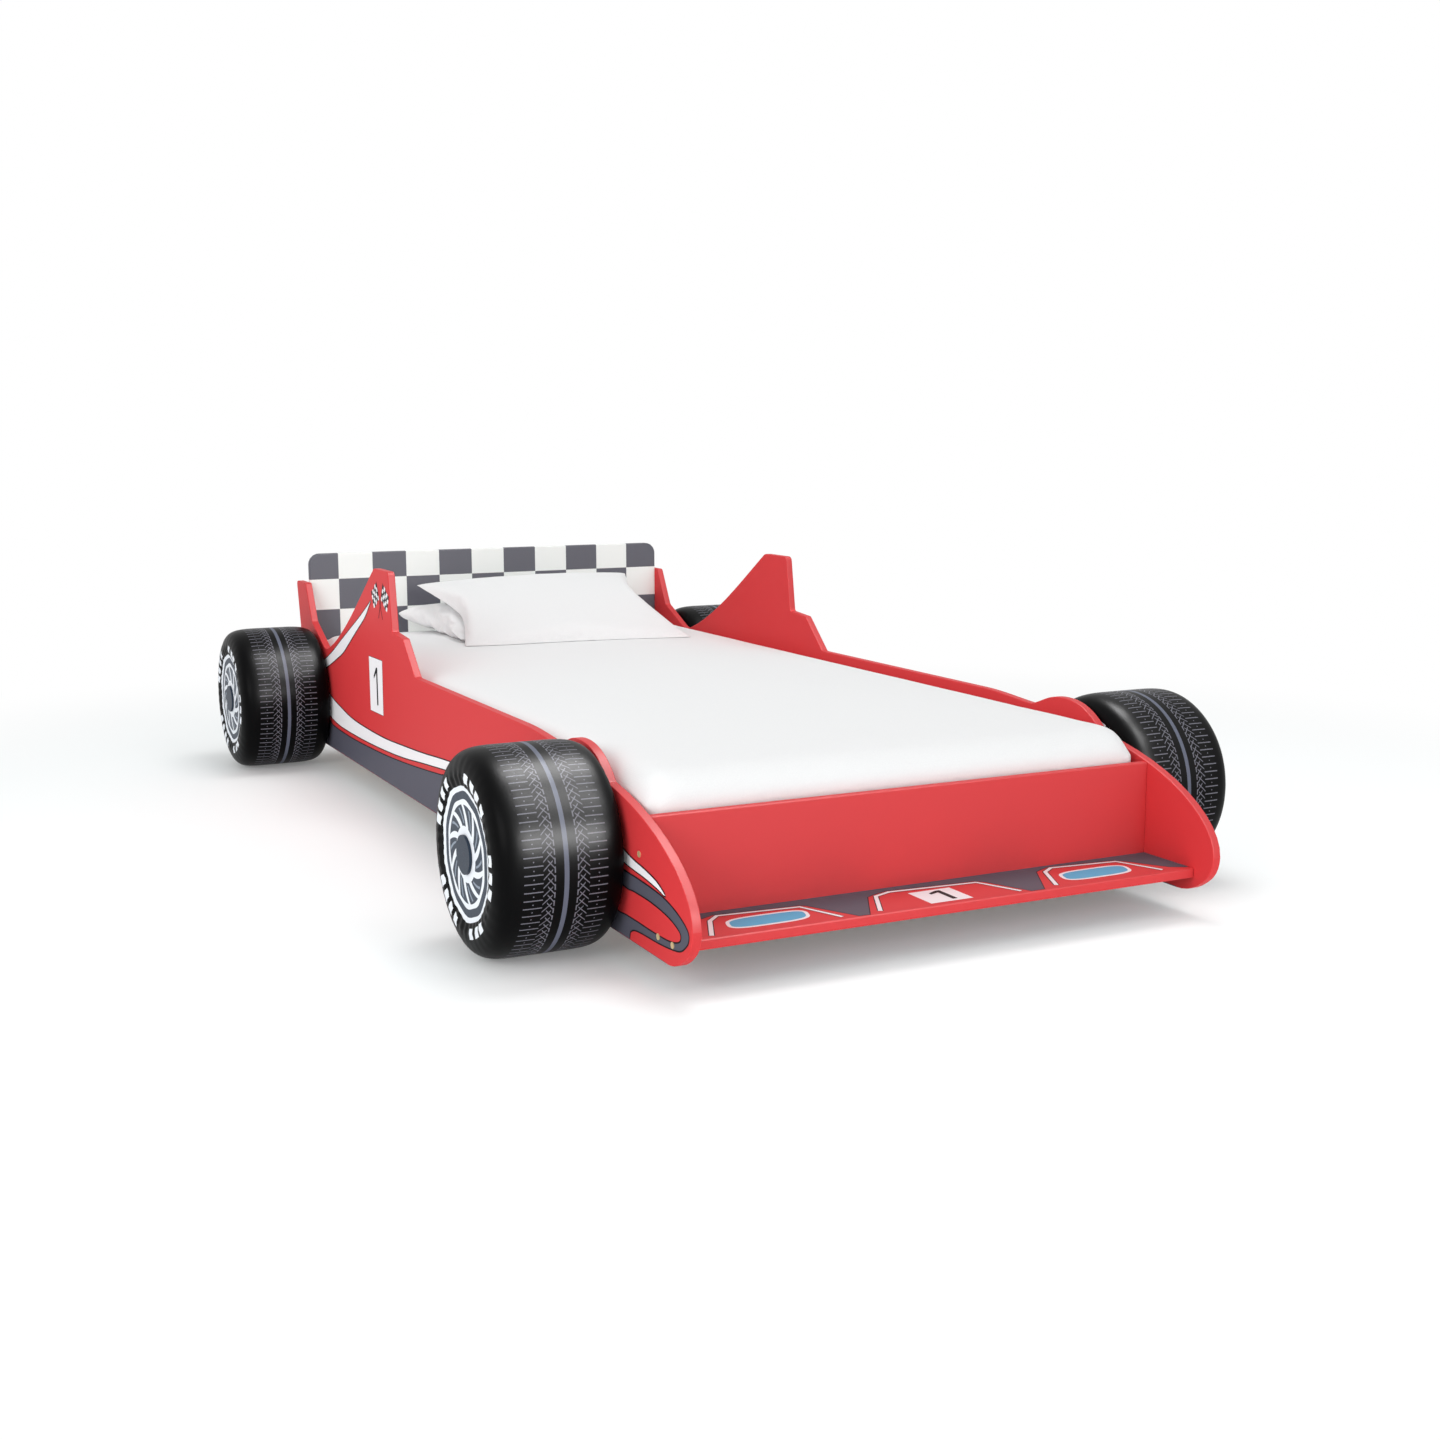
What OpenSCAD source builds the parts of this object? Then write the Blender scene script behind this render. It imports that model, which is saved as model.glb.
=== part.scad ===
// Racing-car bed for a child: MDF car body, slatted base, mattress, two pillows and four inflatable
// wheels that turn on wooden pegs. Millimetres, +Z up, floor at z = 0, x = 0 on the centre line, +Y
// towards the headboard, y = 0 at the middle of the overall length. Inside the modules y is counted
// from the outer face of the front board, and placed() shifts the whole bed to its origin.

/* [Mattress] */
// Nominal width of the mattress
mattress_w = 900; // [800:10:1000]
// Nominal length of the mattress
mattress_l = 2000; // [1900:10:2100]
// Thickness of the mattress at its edge
mattress_h = 160; // [120:5:170]
// How far the top of the mattress edge lies below the level top edge of the panels
mattress_drop = 7; // [2:1:12]
// How much thicker the mattress is in its middle
mattress_crown = 10; // [2:1:20]
// How far the side border of the mattress swells past its nominal width
mattress_bulge = 6; // [0:1:9]
// Radius of the top and bottom edges of the mattress
mattress_edge_r = 34; // [20:1:50]
// Radius of the mattress corners seen from above
mattress_corner_r = 60; // [40:1:90]
// Free width left beside the mattress, each side
side_gap = 22.5; // [12:0.5:30]
// Free length left at each end of the mattress
end_gap = 10; // [4:1:20]

/* [Boards] */
// Thickness of every MDF board
board_t = 16; // [12:1:18]
// Height of the front board's top edge above the floor
front_top = 245; // [220:1:270]
// Height of the front board's bottom edge above the floor
front_foot = 46; // [40:1:55]
// Height of the headboard's top edge above the floor
head_top = 503; // [440:1:600]
// Height of the headboard's bottom edge above the floor
head_foot = 66; // [60:1:90]
// Radius of the headboard's two top corners
head_corner_r = 27; // [10:1:50]
// Depth of the nose shelf in front of the front board
shelf_depth = 127; // [110:1:140]
// Height of the nose shelf's top face above the floor
shelf_top = 85; // [80:1:100]

/* [Side panel outline] */
// Reach of the nose in front of the front board
nose_reach = 172; // [155:1:200]
// Height of the foremost point of the nose
nose_tip_z = 112; // [108:1:125]
// Reach of the corner under the nose
chin_reach = 118; // [100:1:130]
// Height at which the nose turns under
chin_z = 84; // [78:1:90]
// Height of the panel's bottom edge at the nose
foot_z = 42; // [38:1:55]
// Height of the panel's bottom edge behind the front wheel
belly_z = 49; // [40:1:55]
// Where the bottom edge reaches that height
belly_y = 700; // [600:10:1500]
// Height of the panel's bottom edge at the tail
tail_foot_z = 52; // [45:1:65]
// Where the nose line meets the hump over the front wheel
kink_y = 128; // [115:1:140]
// Height of that meeting point
kink_z = 275; // [268:1:285]
// Where the hump over the front wheel is highest
hump_y = 240; // [225:1:260]
// Height of the hump
hump_z = 325; // [315:1:340]
// Where the hump ends
dip_y = 335; // [310:1:350]
// Height of the top edge behind the hump
dip_z = 301; // [295:1:308]
// Where the level top edge starts
rail_y = 500; // [450:10:600]
// Height of the level top edge that one climbs over
rail_z = 310; // [305:1:320]
// Distance of the cockpit step's foot in front of the headboard
step_foot_back = 912; // [880:1:960]
// Distance of the cockpit step's front corner in front of the headboard
step_front_back = 833; // [816:1:856]
// Distance of the fin's foot in front of the headboard
step_rear_back = 759; // [751:1:776]
// Height of the cockpit step at its front corner
step_z = 382; // [360:1:400]
// Rise of the cockpit step towards the fin
step_rise = 6; // [0:1:10]
// Distance of the fin's front corner in front of the headboard
fin_front_back = 739; // [726:1:746]
// Distance of the fin's rear corner in front of the headboard
fin_rear_back = 632; // [616:1:646]
// Height of the fin
fin_z = 514; // [480:1:560]
// Distance of the lowest place between fin and tail in front of the headboard
valley_back = 190; // [176:1:206]
// Height of that place
valley_z = 286; // [270:1:300]
// Distance of the foot of the tail's front edge in front of the headboard
tail_step_back = 67; // [56:1:86]
// Height of the foot of the tail's front edge
tail_step_z = 342; // [330:1:360]
// Distance of the tail's front corner in front of the headboard
tail_front_back = 16; // [6:1:31]
// Reach of the tail's rear corner behind the headboard's front face
tail_reach = 74; // [54:1:94]
// Height of the tail
tail_z = 433; // [410:1:460]
// Reach of the panel's upright rear edge behind the headboard's front face
tail_waist_reach = 44; // [38:1:49]
// Height at which it turns upright
tail_waist_z = 300; // [280:1:320]

/* [Slatted base] */
// Number of slats
slat_count = 15; // [10:1:16]
// Width of a slat
slat_w = 68; // [50:1:80]
// Thickness of a slat
slat_t = 14; // [12:1:20]
// Gap between a slat's end and the side panel
slat_end_gap = 6; // [2:1:12]
// Width of the webbing strap that spaces the slats
strap_w = 20; // [15:1:30]
// Thickness of that strap
strap_t = 1.5; // [1:0.5:2]
// Distance of the strap from the centre line
strap_x = 300; // [200:10:340]
// Height of a side rail
rail_h = 45; // [35:1:55]
// Thickness of a side rail
rail_t = 22; // [18:1:28]
// Height of a cross bearer
bearer_h = 58; // [45:1:60]
// Thickness of a cross bearer
bearer_t = 22; // [18:1:28]
// Place of the front cross bearer behind the front board
bearer_front_y = 262; // [220:1:300]
// Distance of the rear cross bearer in front of the headboard
bearer_rear_back = 246; // [206:1:336]
// Side of a square leg
leg_side = 42; // [35:1:50]
// Distance of a leg's outer face from the side rail
leg_inset = 31; // [20:1:60]
// Radius of a plastic foot glide
glide_r = 18; // [12:1:20]
// Height of a plastic foot glide
glide_h = 8; // [5:1:12]

/* [Wheels] */
// Radius of the inflated wheel
wheel_r = 167; // [150:1:168]
// Width of the inflated wheel
wheel_w = 214; // [180:1:240]
// Height of the wheel's axis above the floor
axle_z = 168.5; // [168.5:0.5:175]
// Place of the front axle behind the front board
front_axle_y = 196; // [180:1:215]
// Distance of the rear axle in front of the headboard
rear_axle_back = 94; // [86:1:111]
// Gap between the wheel's side and the side panel
wheel_gap = 1; // [0.5:0.5:5]
// Radius of the printed disc that the sidewall draws in round
disc_r = 108; // [90:1:120]
// How far the disc lies inside the bulging sidewall
disc_recess = 6; // [5.5:0.5:10]
// Wall of the inflated wheel
wheel_wall = 2.5; // [1.5:0.5:4]
// Radius of the turned peg that carries the wheel
peg_r = 19; // [15:1:24]
// Running clearance between peg and wheel
peg_clear = 0.6; // [0.3:0.1:0.9]
// Radius of the hub cap
cap_r = 31; // [28:1:36]
// Thickness of the hub cap
cap_t = 4.5; // [3:0.5:5]
// Radius of the hub cap's plug
cap_plug_r = 8; // [6:0.5:10]
// Length of the hub cap's plug
cap_plug_l = 20; // [12:1:30]
// Radius of the air valve's plug
valve_r = 8; // [6:0.5:10]
// Height of the air valve's plug
valve_h = 4; // [3:0.5:5]
// Distance of the valve from the wheel's axis
valve_offset = 68; // [50:1:80]

/* [Fasteners] */
// Shank radius of the bolts that join the boards
bolt_r = 3; // [2.5:0.5:4]
// Head radius of those bolts
bolt_head_r = 5; // [4.5:0.5:7]
// Height of the bolt head outside the panel
bolt_head_h = 1.5; // [1:0.5:3]
// Length of the bolt inside the board's end
bolt_reach = 38; // [36:1:50]
// Radius of the cross dowel nut that the bolt screws into
nut_r = 5; // [4.5:0.5:6]
// Length of the cross dowel nut
nut_l = 11; // [9:1:12]
// Distance of the cross dowel nut from the board's end
nut_inset = 30; // [20:1:34]
// Shank radius of the bolt that holds a wheel peg
peg_bolt_r = 4; // [3:0.5:5]
// Length of that bolt inside the peg
peg_bolt_reach = 60; // [40:1:80]
// Radius of its low round head inside the panel
peg_bolt_head_r = 11; // [8:1:14]
// Height of that head
peg_bolt_head_h = 4; // [3:0.5:5]
// Shank radius of the rail screws
screw_r = 2; // [1.5:0.5:3]
// Head radius of the rail screws
screw_head_r = 4; // [3.5:0.5:6]
// Height of the rail screw's head
screw_head_h = 1.5; // [1:0.5:2]
// Depth of the rail screws in the panel
screw_bite = 10; // [6:1:11]
// Number of screws that hold a side rail, in each bay between the bearers
bay_screws = 2; // [1:1:2]
// Width, height and length of each arm of the steel corner bracket
bracket_arm = 32; // [25:1:36]
// Sheet thickness of the corner bracket
bracket_t = 2; // [1.5:0.5:3]

/* [Pillows] */
// Length of a pillow from seam to seam
pillow_l = 560; // [500:10:640]
// Width of a pillow from seam to seam
pillow_w = 400; // [340:10:420]
// How far a pillow's sides draw in between its pointed corners
pillow_draw = 26; // [10:1:40]
// Height of the front pillow's upper side above its seam
front_pillow_top = 58; // [30:1:80]
// Depth of the front pillow's squashed underside below its seam
front_pillow_under = 11; // [5:1:20]
// Tilt of the front pillow, propped up on the lower one
front_pillow_tilt = 15; // [8:0.5:20]
// Height of the lower pillow's upper side above its seam
back_pillow_top = 30; // [20:1:40]
// Depth of the lower pillow's underside below its seam
back_pillow_under = 26; // [20:1:40]

/* [Hidden] */

// Facets of a round face, of a soft form's corner, and of one curved stretch of an outline
fine = 64;
corner_steps = 3;
curve_steps = 12;
arc_steps = 5;
// Overrun of every cut, rest distance of pieces that only lie on each other, clearance of a bolt
over = 1;
seat = 0.3;
bolt_clear = 0.3;

// Places worked out from the driving sizes
LEFT = -1;
RIGHT = 1;
inner_w = mattress_w + 2 * side_gap;
half_in = inner_w / 2;
half_out = half_in + board_t;
head_y = board_t + mattress_l + 2 * end_gap;
deck_z = rail_z - mattress_drop - mattress_h;
slat_z = deck_z - slat_t;
rail_foot_z = slat_z - rail_h;
rail_in = half_in - rail_t;
bearer_z = slat_z - strap_t - seat;
bearer_rear_y = head_y - bearer_rear_back;
bearer_middle_y = (bearer_front_y + bearer_rear_y) / 2;
bearer_ys = [bearer_front_y, bearer_middle_y, bearer_rear_y];
leg_x = rail_in - leg_inset - leg_side / 2;
axle_ys = [front_axle_y, head_y - rear_axle_back];
wheel_x = half_out + wheel_gap + wheel_w / 2;
disc_x = wheel_w / 2 - disc_recess;
peg_end = wheel_x + disc_x + seat;
mattress_y = board_t + end_gap + mattress_l / 2;

// The side panel's rear half keeps its distance from the headboard
step_foot_y = head_y - step_foot_back;
step_front_y = head_y - step_front_back;
step_rear_y = head_y - step_rear_back;
fin_front_y = head_y - fin_front_back;
fin_rear_y = head_y - fin_rear_back;
valley_y = head_y - valley_back;
tail_step_y = head_y - tail_step_back;
tail_front_y = head_y - tail_front_back;
tail_rear_y = head_y + tail_reach;
tail_waist_y = head_y + tail_waist_reach;

// Corner radii of the side panel
chin_r = 95;
jaw_r = 54;
step_foot_r = 14;
step_r = 10;
fin_foot_r = 8;
fin_front_r = 12;
fin_rear_r = 24;
valley_r = 60;
tail_foot_r = 14;
tail_r = 9;
waist_r = 60;
tail_heel_r = 24;

// Handles of the side panel's curves, as shares of the way from their first to their last point
nose_shares = [[0, 0.39], [0.39, 0.83]];
hump_front_shares = [[0.2, 0.5], [0.5, 1]];
hump_rear_shares = [[0.47, 0], [0.63, 0.58]];
dip_shares = [[0.2, 0], [0.6, 1]];
slope_shares = [[0.27, 0.32], [0.67, 0.86]];

// Heights of the bolts that hold the boards, and their places in the shelf, as shares of each board
front_bolt_share = 0.71;
head_bolt_shares = [0.14, 0.45];
shelf_bolt_shares = [0.46, 0.85];

// Clear ends of the side rails, the end slats and the straps
rail_end_gap = 20;
slat_margin = 14;
// Squareness of the inflated wheel's shoulder, measured down from its tread and in from its side
tread_power = 8;
wall_power = 6.4;
// Last step round the shoulder, in degrees, where the sidewall meets the disc
shoulder_end = 70;
shoulder_step = 10;
// Parts of the air valve
valve_cap_share = 0.6;
valve_flange_share = 0.3;
// Length of a glide's pin in its leg, and its radius
glide_pin_l = 18;
glide_pin_r = 3;

// Places of the two pillows, across and in front of the headboard, and how they are turned
front_pillow_back = 298;
front_pillow_place = [30, head_y - front_pillow_back];
front_pillow_turn = -8;
front_pillow_lift = 9;
back_pillow_back = 230;
back_pillow_place = [34, head_y - back_pillow_back];
back_pillow_turn = -3;
// Where the lower pillow touches the crowned mattress, as a share of its width from its middle
back_pillow_touch_share = 0.2;
// Least thickness that the pressed pillow keeps
pressed_min = 5;
// Corner radius of a pillow seam, and the share of its size that each ring of the padding has
pillow_corner_r = 9;
pad_shares = [0.25, 0.5, 0.7, 0.84, 0.94, 1];
// How full a padded side is: plump, or squashed flat by what it lies on
plump = [2.6, 0.72];
squashed = [6, 0.8];
side_steps = 6;

// Points of the curve from p to q, without p, with its handles given as shares of the way
function curve(p, q, shares, n = curve_steps) = let (
    d = q - p,
    a = p + [d.x * shares[0].x, d.y * shares[0].y],
    b = p + [d.x * shares[1].x, d.y * shares[1].y])
    [for (i = [1 : n]) let (t = i / n, s = 1 - t)
        s * s * s * p + 3 * s * s * t * a + 3 * s * t * t * b + t * t * t * q];

function unit(v) = v / norm(v);

// The corner at q between p and s, rounded with radius r
function fillet(p, q, s, r) = let (
    u = unit(p - q),
    v = unit(s - q),
    half = acos(u * v) / 2,
    centre = q + unit(u + v) * r / sin(half),
    first = q + u * r / tan(half) - centre,
    last = q + v * r / tan(half) - centre)
    [for (i = [0 : arc_steps]) let (t = i / arc_steps) centre + r * unit((1 - t) * first + t * last)];

function flat(p) = [p.x, p.y];

// A closed outline whose points may carry a third value, the radius of the corner there
function rounded(path) = [
    for (i = [0 : len(path) - 1]) let (
        q = path[i],
        p = path[(i + len(path) - 1) % len(path)],
        s = path[(i + 1) % len(path)])
    each is_undef(q[2]) ? [q] : fillet(flat(p), flat(q), flat(s), q[2])];

// The long slope behind the fin
slope_line = curve([fin_rear_y, fin_z], [valley_y, valley_z], slope_shares);

// The side panel seen from the right, y across and z up
panel_outline = rounded(concat(
    [[-chin_reach, foot_z, chin_r],
     [-nose_reach, chin_z, jaw_r],
     [-nose_reach, nose_tip_z]],
    curve([-nose_reach, nose_tip_z], [kink_y, kink_z], nose_shares),
    curve([kink_y, kink_z], [hump_y, hump_z], hump_front_shares),
    curve([hump_y, hump_z], [dip_y, dip_z], hump_rear_shares),
    curve([dip_y, dip_z], [rail_y, rail_z], dip_shares),
    [[step_foot_y, rail_z, step_foot_r],
     [step_front_y, step_z, step_r],
     [step_rear_y, step_z + step_rise, fin_foot_r],
     [fin_front_y, fin_z, fin_front_r],
     [fin_rear_y, fin_z, fin_rear_r]],
    [for (i = [0 : curve_steps - 2]) slope_line[i]],
    [[valley_y, valley_z, valley_r],
     [tail_step_y, tail_step_z, tail_foot_r],
     [tail_front_y, tail_z, tail_r],
     [tail_rear_y, tail_z, tail_r],
     [tail_waist_y, tail_waist_z, waist_r],
     [tail_waist_y, tail_foot_z, tail_heel_r],
     [belly_y, belly_z]]));

// The bed's origin lies under the middle of the side panel's length
origin_y = (max([for (p = panel_outline) p.x]) + min([for (p = panel_outline) p.x])) / 2;

// Axes of the board bolts: their y and z in the side panel, and which way their cross dowels lie
front_bolts = [[board_t / 2, front_foot + front_bolt_share * (front_top - front_foot)]];
head_bolts = [for (share = head_bolt_shares)
    [head_y + board_t / 2, head_foot + share * (head_top - head_foot)]];
shelf_bolts = [for (share = shelf_bolt_shares) [-share * shelf_depth, shelf_top - board_t / 2]];

bays = concat([board_t + rail_end_gap], bearer_ys, [head_y - rail_end_gap]);
screw_ys = [for (b = [0 : len(bays) - 2], i = [1 : bay_screws])
    bays[b] + (bays[b + 1] - bays[b]) * (i - 1 / 2) / bay_screws];
slat_pitch = (mattress_l + 2 * end_gap - 2 * slat_margin - slat_w) / (slat_count - 1);
slat_start = board_t + slat_margin;

// Puts a piece that is drawn from the front board's outer face at the bed's origin
module placed() {
    translate([0, -origin_y, 0]) children();
}

// Draws a piece of the right side on the side that is asked for
module on_side(side) {
    if (side == RIGHT) children();
    else mirror([1, 0, 0]) children();
}

// A round bar or bore along X, from x = a to x = b
module bar_x(r, a, b, y, z) {
    translate([a, y, z]) rotate([0, 90, 0]) cylinder(r = r, h = b - a, $fn = fine);
}

// A round bar or bore along Y, from y = a to y = b
module bar_y(r, a, b, x, z) {
    translate([x, b, z]) rotate([90, 0, 0]) cylinder(r = r, h = b - a, $fn = fine);
}

// A round bar or bore along Z, from z = a to z = b
module bar_z(r, a, b, x, y) {
    translate([x, y, a]) cylinder(r = r, h = b - a, $fn = fine);
}

module side_panel(side) {
    color("firebrick") placed() on_side(side) difference() {
        translate([half_in, 0, 0]) rotate([90, 0, 90])
            linear_extrude(board_t) polygon(panel_outline);
        for (y = axle_ys)
            bar_x(peg_bolt_r + bolt_clear, half_in - over, half_out + over, y, axle_z);
        for (bolt = concat(front_bolts, shelf_bolts, head_bolts))
            bar_x(bolt_r + bolt_clear, half_in - over, half_out + over, bolt.x, bolt.y);
        for (y = screw_ys)
            bar_x(screw_r, half_in - over, half_in + screw_bite, y, rail_foot_z + rail_h / 2);
    }
}

// Bores for one bolt in both ends of an upright board, with its cross dowel put in along Y
module upright_fixing(bolt) {
    for (side = [LEFT, RIGHT]) on_side(side) {
        bar_x(bolt_r + bolt_clear, half_in - bolt_reach - over, half_in + over, bolt.x, bolt.y);
        bar_y(nut_r, bolt.x - nut_l / 2, bolt.x + board_t / 2 + over, half_in - nut_inset, bolt.y);
    }
}

module front_board() {
    color("firebrick") placed() difference() {
        translate([-half_in, 0, front_foot]) cube([inner_w, board_t, front_top - front_foot]);
        for (bolt = front_bolts) upright_fixing(bolt);
    }
}

module nose_shelf() {
    color("dimgray") placed() difference() {
        translate([-half_in, -shelf_depth, shelf_top - board_t]) cube([inner_w, shelf_depth, board_t]);
        for (bolt = shelf_bolts, side = [LEFT, RIGHT]) on_side(side) {
            bar_x(bolt_r + bolt_clear, half_in - bolt_reach - over, half_in + over, bolt.x, bolt.y);
            bar_z(nut_r, bolt.y - board_t / 2 - over, bolt.y + nut_l / 2, half_in - nut_inset, bolt.x);
        }
    }
}

module headboard() {
    outline = rounded([
        [-half_in, head_foot], [half_in, head_foot],
        [half_in, head_top, head_corner_r], [-half_in, head_top, head_corner_r]]);
    color("slategray") placed() difference() {
        translate([0, head_y + board_t, 0]) rotate([90, 0, 0]) linear_extrude(board_t) polygon(outline);
        for (bolt = head_bolts) upright_fixing(bolt);
    }
}

// Batten on the inside of a side panel that the slats lie on
module side_rail(side) {
    length = head_y - board_t - 2 * rail_end_gap;
    color("burlywood") placed() on_side(side) difference() {
        translate([rail_in, board_t + rail_end_gap, rail_foot_z]) cube([rail_t, length, rail_h]);
        for (y = screw_ys)
            bar_x(screw_r, rail_in - over, half_in + over, y, rail_foot_z + rail_h / 2);
    }
}

// Board on edge between the side rails, which carries two legs
module bearer(y) {
    color("burlywood") placed() difference() {
        translate([-rail_in, y - bearer_t / 2, bearer_z - bearer_h])
            cube([2 * rail_in, bearer_t, bearer_h]);
        for (side = [LEFT, RIGHT])
            bar_y(bolt_r + bolt_clear, y - bearer_t, y + bearer_t, side * leg_x, bearer_z - bearer_h / 2);
    }
}

module leg(y, side) {
    color("burlywood") placed() difference() {
        translate([side * leg_x - leg_side / 2, y - bearer_t / 2 - leg_side, glide_h])
            cube([leg_side, leg_side, bearer_z - glide_h]);
        bar_y(bolt_r + bolt_clear, y - bearer_t - leg_side, y, side * leg_x, bearer_z - bearer_h / 2);
        bar_z(glide_pin_r, glide_h - over, glide_h + glide_pin_l, side * leg_x,
            y - bearer_t / 2 - leg_side / 2);
    }
}

module leg_bolts() {
    color("silver") placed() for (y = bearer_ys, side = [LEFT, RIGHT]) {
        front = y - bearer_t / 2 - leg_side;
        rear = y + bearer_t / 2;
        z = bearer_z - bearer_h / 2;
        bar_y(bolt_r, front - bolt_head_h, rear + bolt_head_h, side * leg_x, z);
        bar_y(bolt_head_r, front - bolt_head_h, front, side * leg_x, z);
        bar_y(bolt_head_r, rear, rear + bolt_head_h, side * leg_x, z);
    }
}

module foot_glides() {
    color("black") placed() for (y = bearer_ys, side = [LEFT, RIGHT]) {
        leg_y = y - bearer_t / 2 - leg_side / 2;
        bar_z(glide_r, 0, glide_h, side * leg_x, leg_y);
        bar_z(glide_pin_r, glide_h - over, glide_h + glide_pin_l, side * leg_x, leg_y);
    }
}

// Bent steel plates between the bearers and the side rails
module bearer_brackets() {
    color("silver") placed() for (y = bearer_ys, side = [LEFT, RIGHT]) on_side(side)
        translate([rail_in, y + bearer_t / 2, bearer_z - bearer_h / 2 - bracket_arm / 2]) {
            translate([-bracket_arm, 0, 0]) cube([bracket_arm, bracket_t, bracket_arm]);
            translate([-bracket_t, 0, 0]) cube([bracket_t, bracket_arm, bracket_arm]);
        }
}

module slat(i) {
    half = half_in - slat_end_gap;
    color("wheat") placed()
        translate([-half, slat_start + (i - 1) * slat_pitch, slat_z]) cube([2 * half, slat_w, slat_t]);
}

// Webbing stapled under the slats, which keeps them apart
module slat_strap(side) {
    length = (slat_count - 1) * slat_pitch + slat_w;
    color("white") placed() translate([side * strap_x - strap_w / 2, slat_start, slat_z - strap_t])
        cube([strap_w, length, strap_t]);
}

// Half of the section of an inflated wheel, radius across and width up, drawn in by a wall w
function wheel_half(w) = concat(
    [[peg_r + peg_clear + w, disc_x - w], [disc_r, disc_x - w]],
    [for (a = [shoulder_end : -shoulder_step : 0])
        [(wheel_r - w) * pow(cos(a), 2 / tread_power),
         (wheel_w / 2 - w) * pow(sin(a) / sin(shoulder_end), 2 / wall_power)]]);

// The whole section: one half, and its mirror image in reverse order
function wheel_section(w) = let (half = wheel_half(w), n = len(half)) concat(
    half, [for (i = [n - 2 : -1 : 0]) [half[i].x, -half[i].y]]);

// Hollow inflated wheel with a sleeve for its peg
module wheel(place, side) {
    color([0.08, 0.08, 0.09]) placed() on_side(side)
        translate([wheel_x, axle_ys[place], axle_z]) rotate([0, 90, 0])
            rotate_extrude($fn = fine) difference() {
                polygon(wheel_section(0));
                polygon(wheel_section(wheel_wall));
            }
}

// Push-in air valve on the side of the wheel that faces the bed
module valve(place, side) {
    y = axle_ys[place] + valve_offset;
    face = wheel_x - disc_x;
    color([0.15, 0.15, 0.16]) placed() on_side(side) {
        bar_x(valve_r, face - valve_h * valve_flange_share, face, y, axle_z);
        bar_x(valve_r * valve_cap_share, face - valve_h, face, y, axle_z);
    }
}

// Turned wooden peg, bolted to the panel, that the wheel is slid on
module wheel_peg(place, side) {
    y = axle_ys[place];
    color("burlywood") placed() on_side(side) difference() {
        bar_x(peg_r, half_out, peg_end, y, axle_z);
        bar_x(peg_bolt_r, half_out - over, half_out + peg_bolt_reach, y, axle_z);
        bar_x(cap_plug_r, peg_end - cap_plug_l, peg_end + over, y, axle_z);
    }
}

// Cap whose plug is pressed into the peg and keeps the wheel on it
module hub_cap(place, side) {
    y = axle_ys[place];
    color("slategray") placed() on_side(side) {
        bar_x(cap_r, peg_end, peg_end + cap_t, y, axle_z);
        bar_x(cap_plug_r, peg_end - cap_plug_l, peg_end + over, y, axle_z);
    }
}

module peg_bolts() {
    color("silver") placed() for (y = axle_ys, side = [LEFT, RIGHT]) on_side(side) {
        bar_x(peg_bolt_head_r, half_in - peg_bolt_head_h, half_in, y, axle_z);
        bar_x(peg_bolt_r, half_in - over, half_out + peg_bolt_reach, y, axle_z);
    }
}

module board_bolts() {
    color("silver") placed()
        for (bolt = concat(front_bolts, shelf_bolts, head_bolts), side = [LEFT, RIGHT]) on_side(side) {
            bar_x(bolt_head_r, half_out, half_out + bolt_head_h, bolt.x, bolt.y);
            bar_x(bolt_r, half_in - bolt_reach, half_out + over, bolt.x, bolt.y);
        }
}

module cross_dowel_nuts() {
    x = half_in - nut_inset;
    color("silver") placed() for (side = [LEFT, RIGHT]) on_side(side) {
        for (bolt = concat(front_bolts, head_bolts)) difference() {
            bar_y(nut_r, bolt.x - nut_l / 2, bolt.x + nut_l / 2, x, bolt.y);
            bar_x(bolt_r, x - nut_r - over, x + nut_r + over, bolt.x, bolt.y);
        }
        for (bolt = shelf_bolts) difference() {
            bar_z(nut_r, bolt.y - nut_l / 2, bolt.y + nut_l / 2, x, bolt.x);
            bar_x(bolt_r, x - nut_r - over, x + nut_r + over, bolt.x, bolt.y);
        }
    }
}

module rail_screws() {
    z = rail_foot_z + rail_h / 2;
    color("silver") placed() for (y = screw_ys, side = [LEFT, RIGHT]) on_side(side) {
        bar_x(screw_head_r, rail_in - screw_head_h, rail_in, y, z);
        bar_x(screw_r, rail_in - screw_head_h, half_in + screw_bite, y, z);
    }
}

// A ring of points at height z round a rectangle with half sizes h and corner radius r, whose sides
// draw in by draw between the corners
function ring(h, r, draw, z) = [
    for (c = [0 : 3]) let (
        x = (c == 0 || c == 3 ? 1 : -1) * (h.x - r),
        y = (c < 2 ? 1 : -1) * (h.y - r),
        next_x = (c == 3 || c == 2 ? 1 : -1) * (h.x - r),
        next_y = (c == 3 || c == 0 ? 1 : -1) * (h.y - r),
        out = [cos(90 * (c + 1)), sin(90 * (c + 1))])
    each concat(
        [for (i = [0 : corner_steps]) let (a = 90 * (c + i / corner_steps))
            [x + r * cos(a), y + r * sin(a), z]],
        [for (i = [1 : side_steps - 1]) let (t = i / side_steps, in = r - draw * sin(180 * t))
            [x + (next_x - x) * t + out.x * in, y + (next_y - y) * t + out.y * in, z]])];

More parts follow.
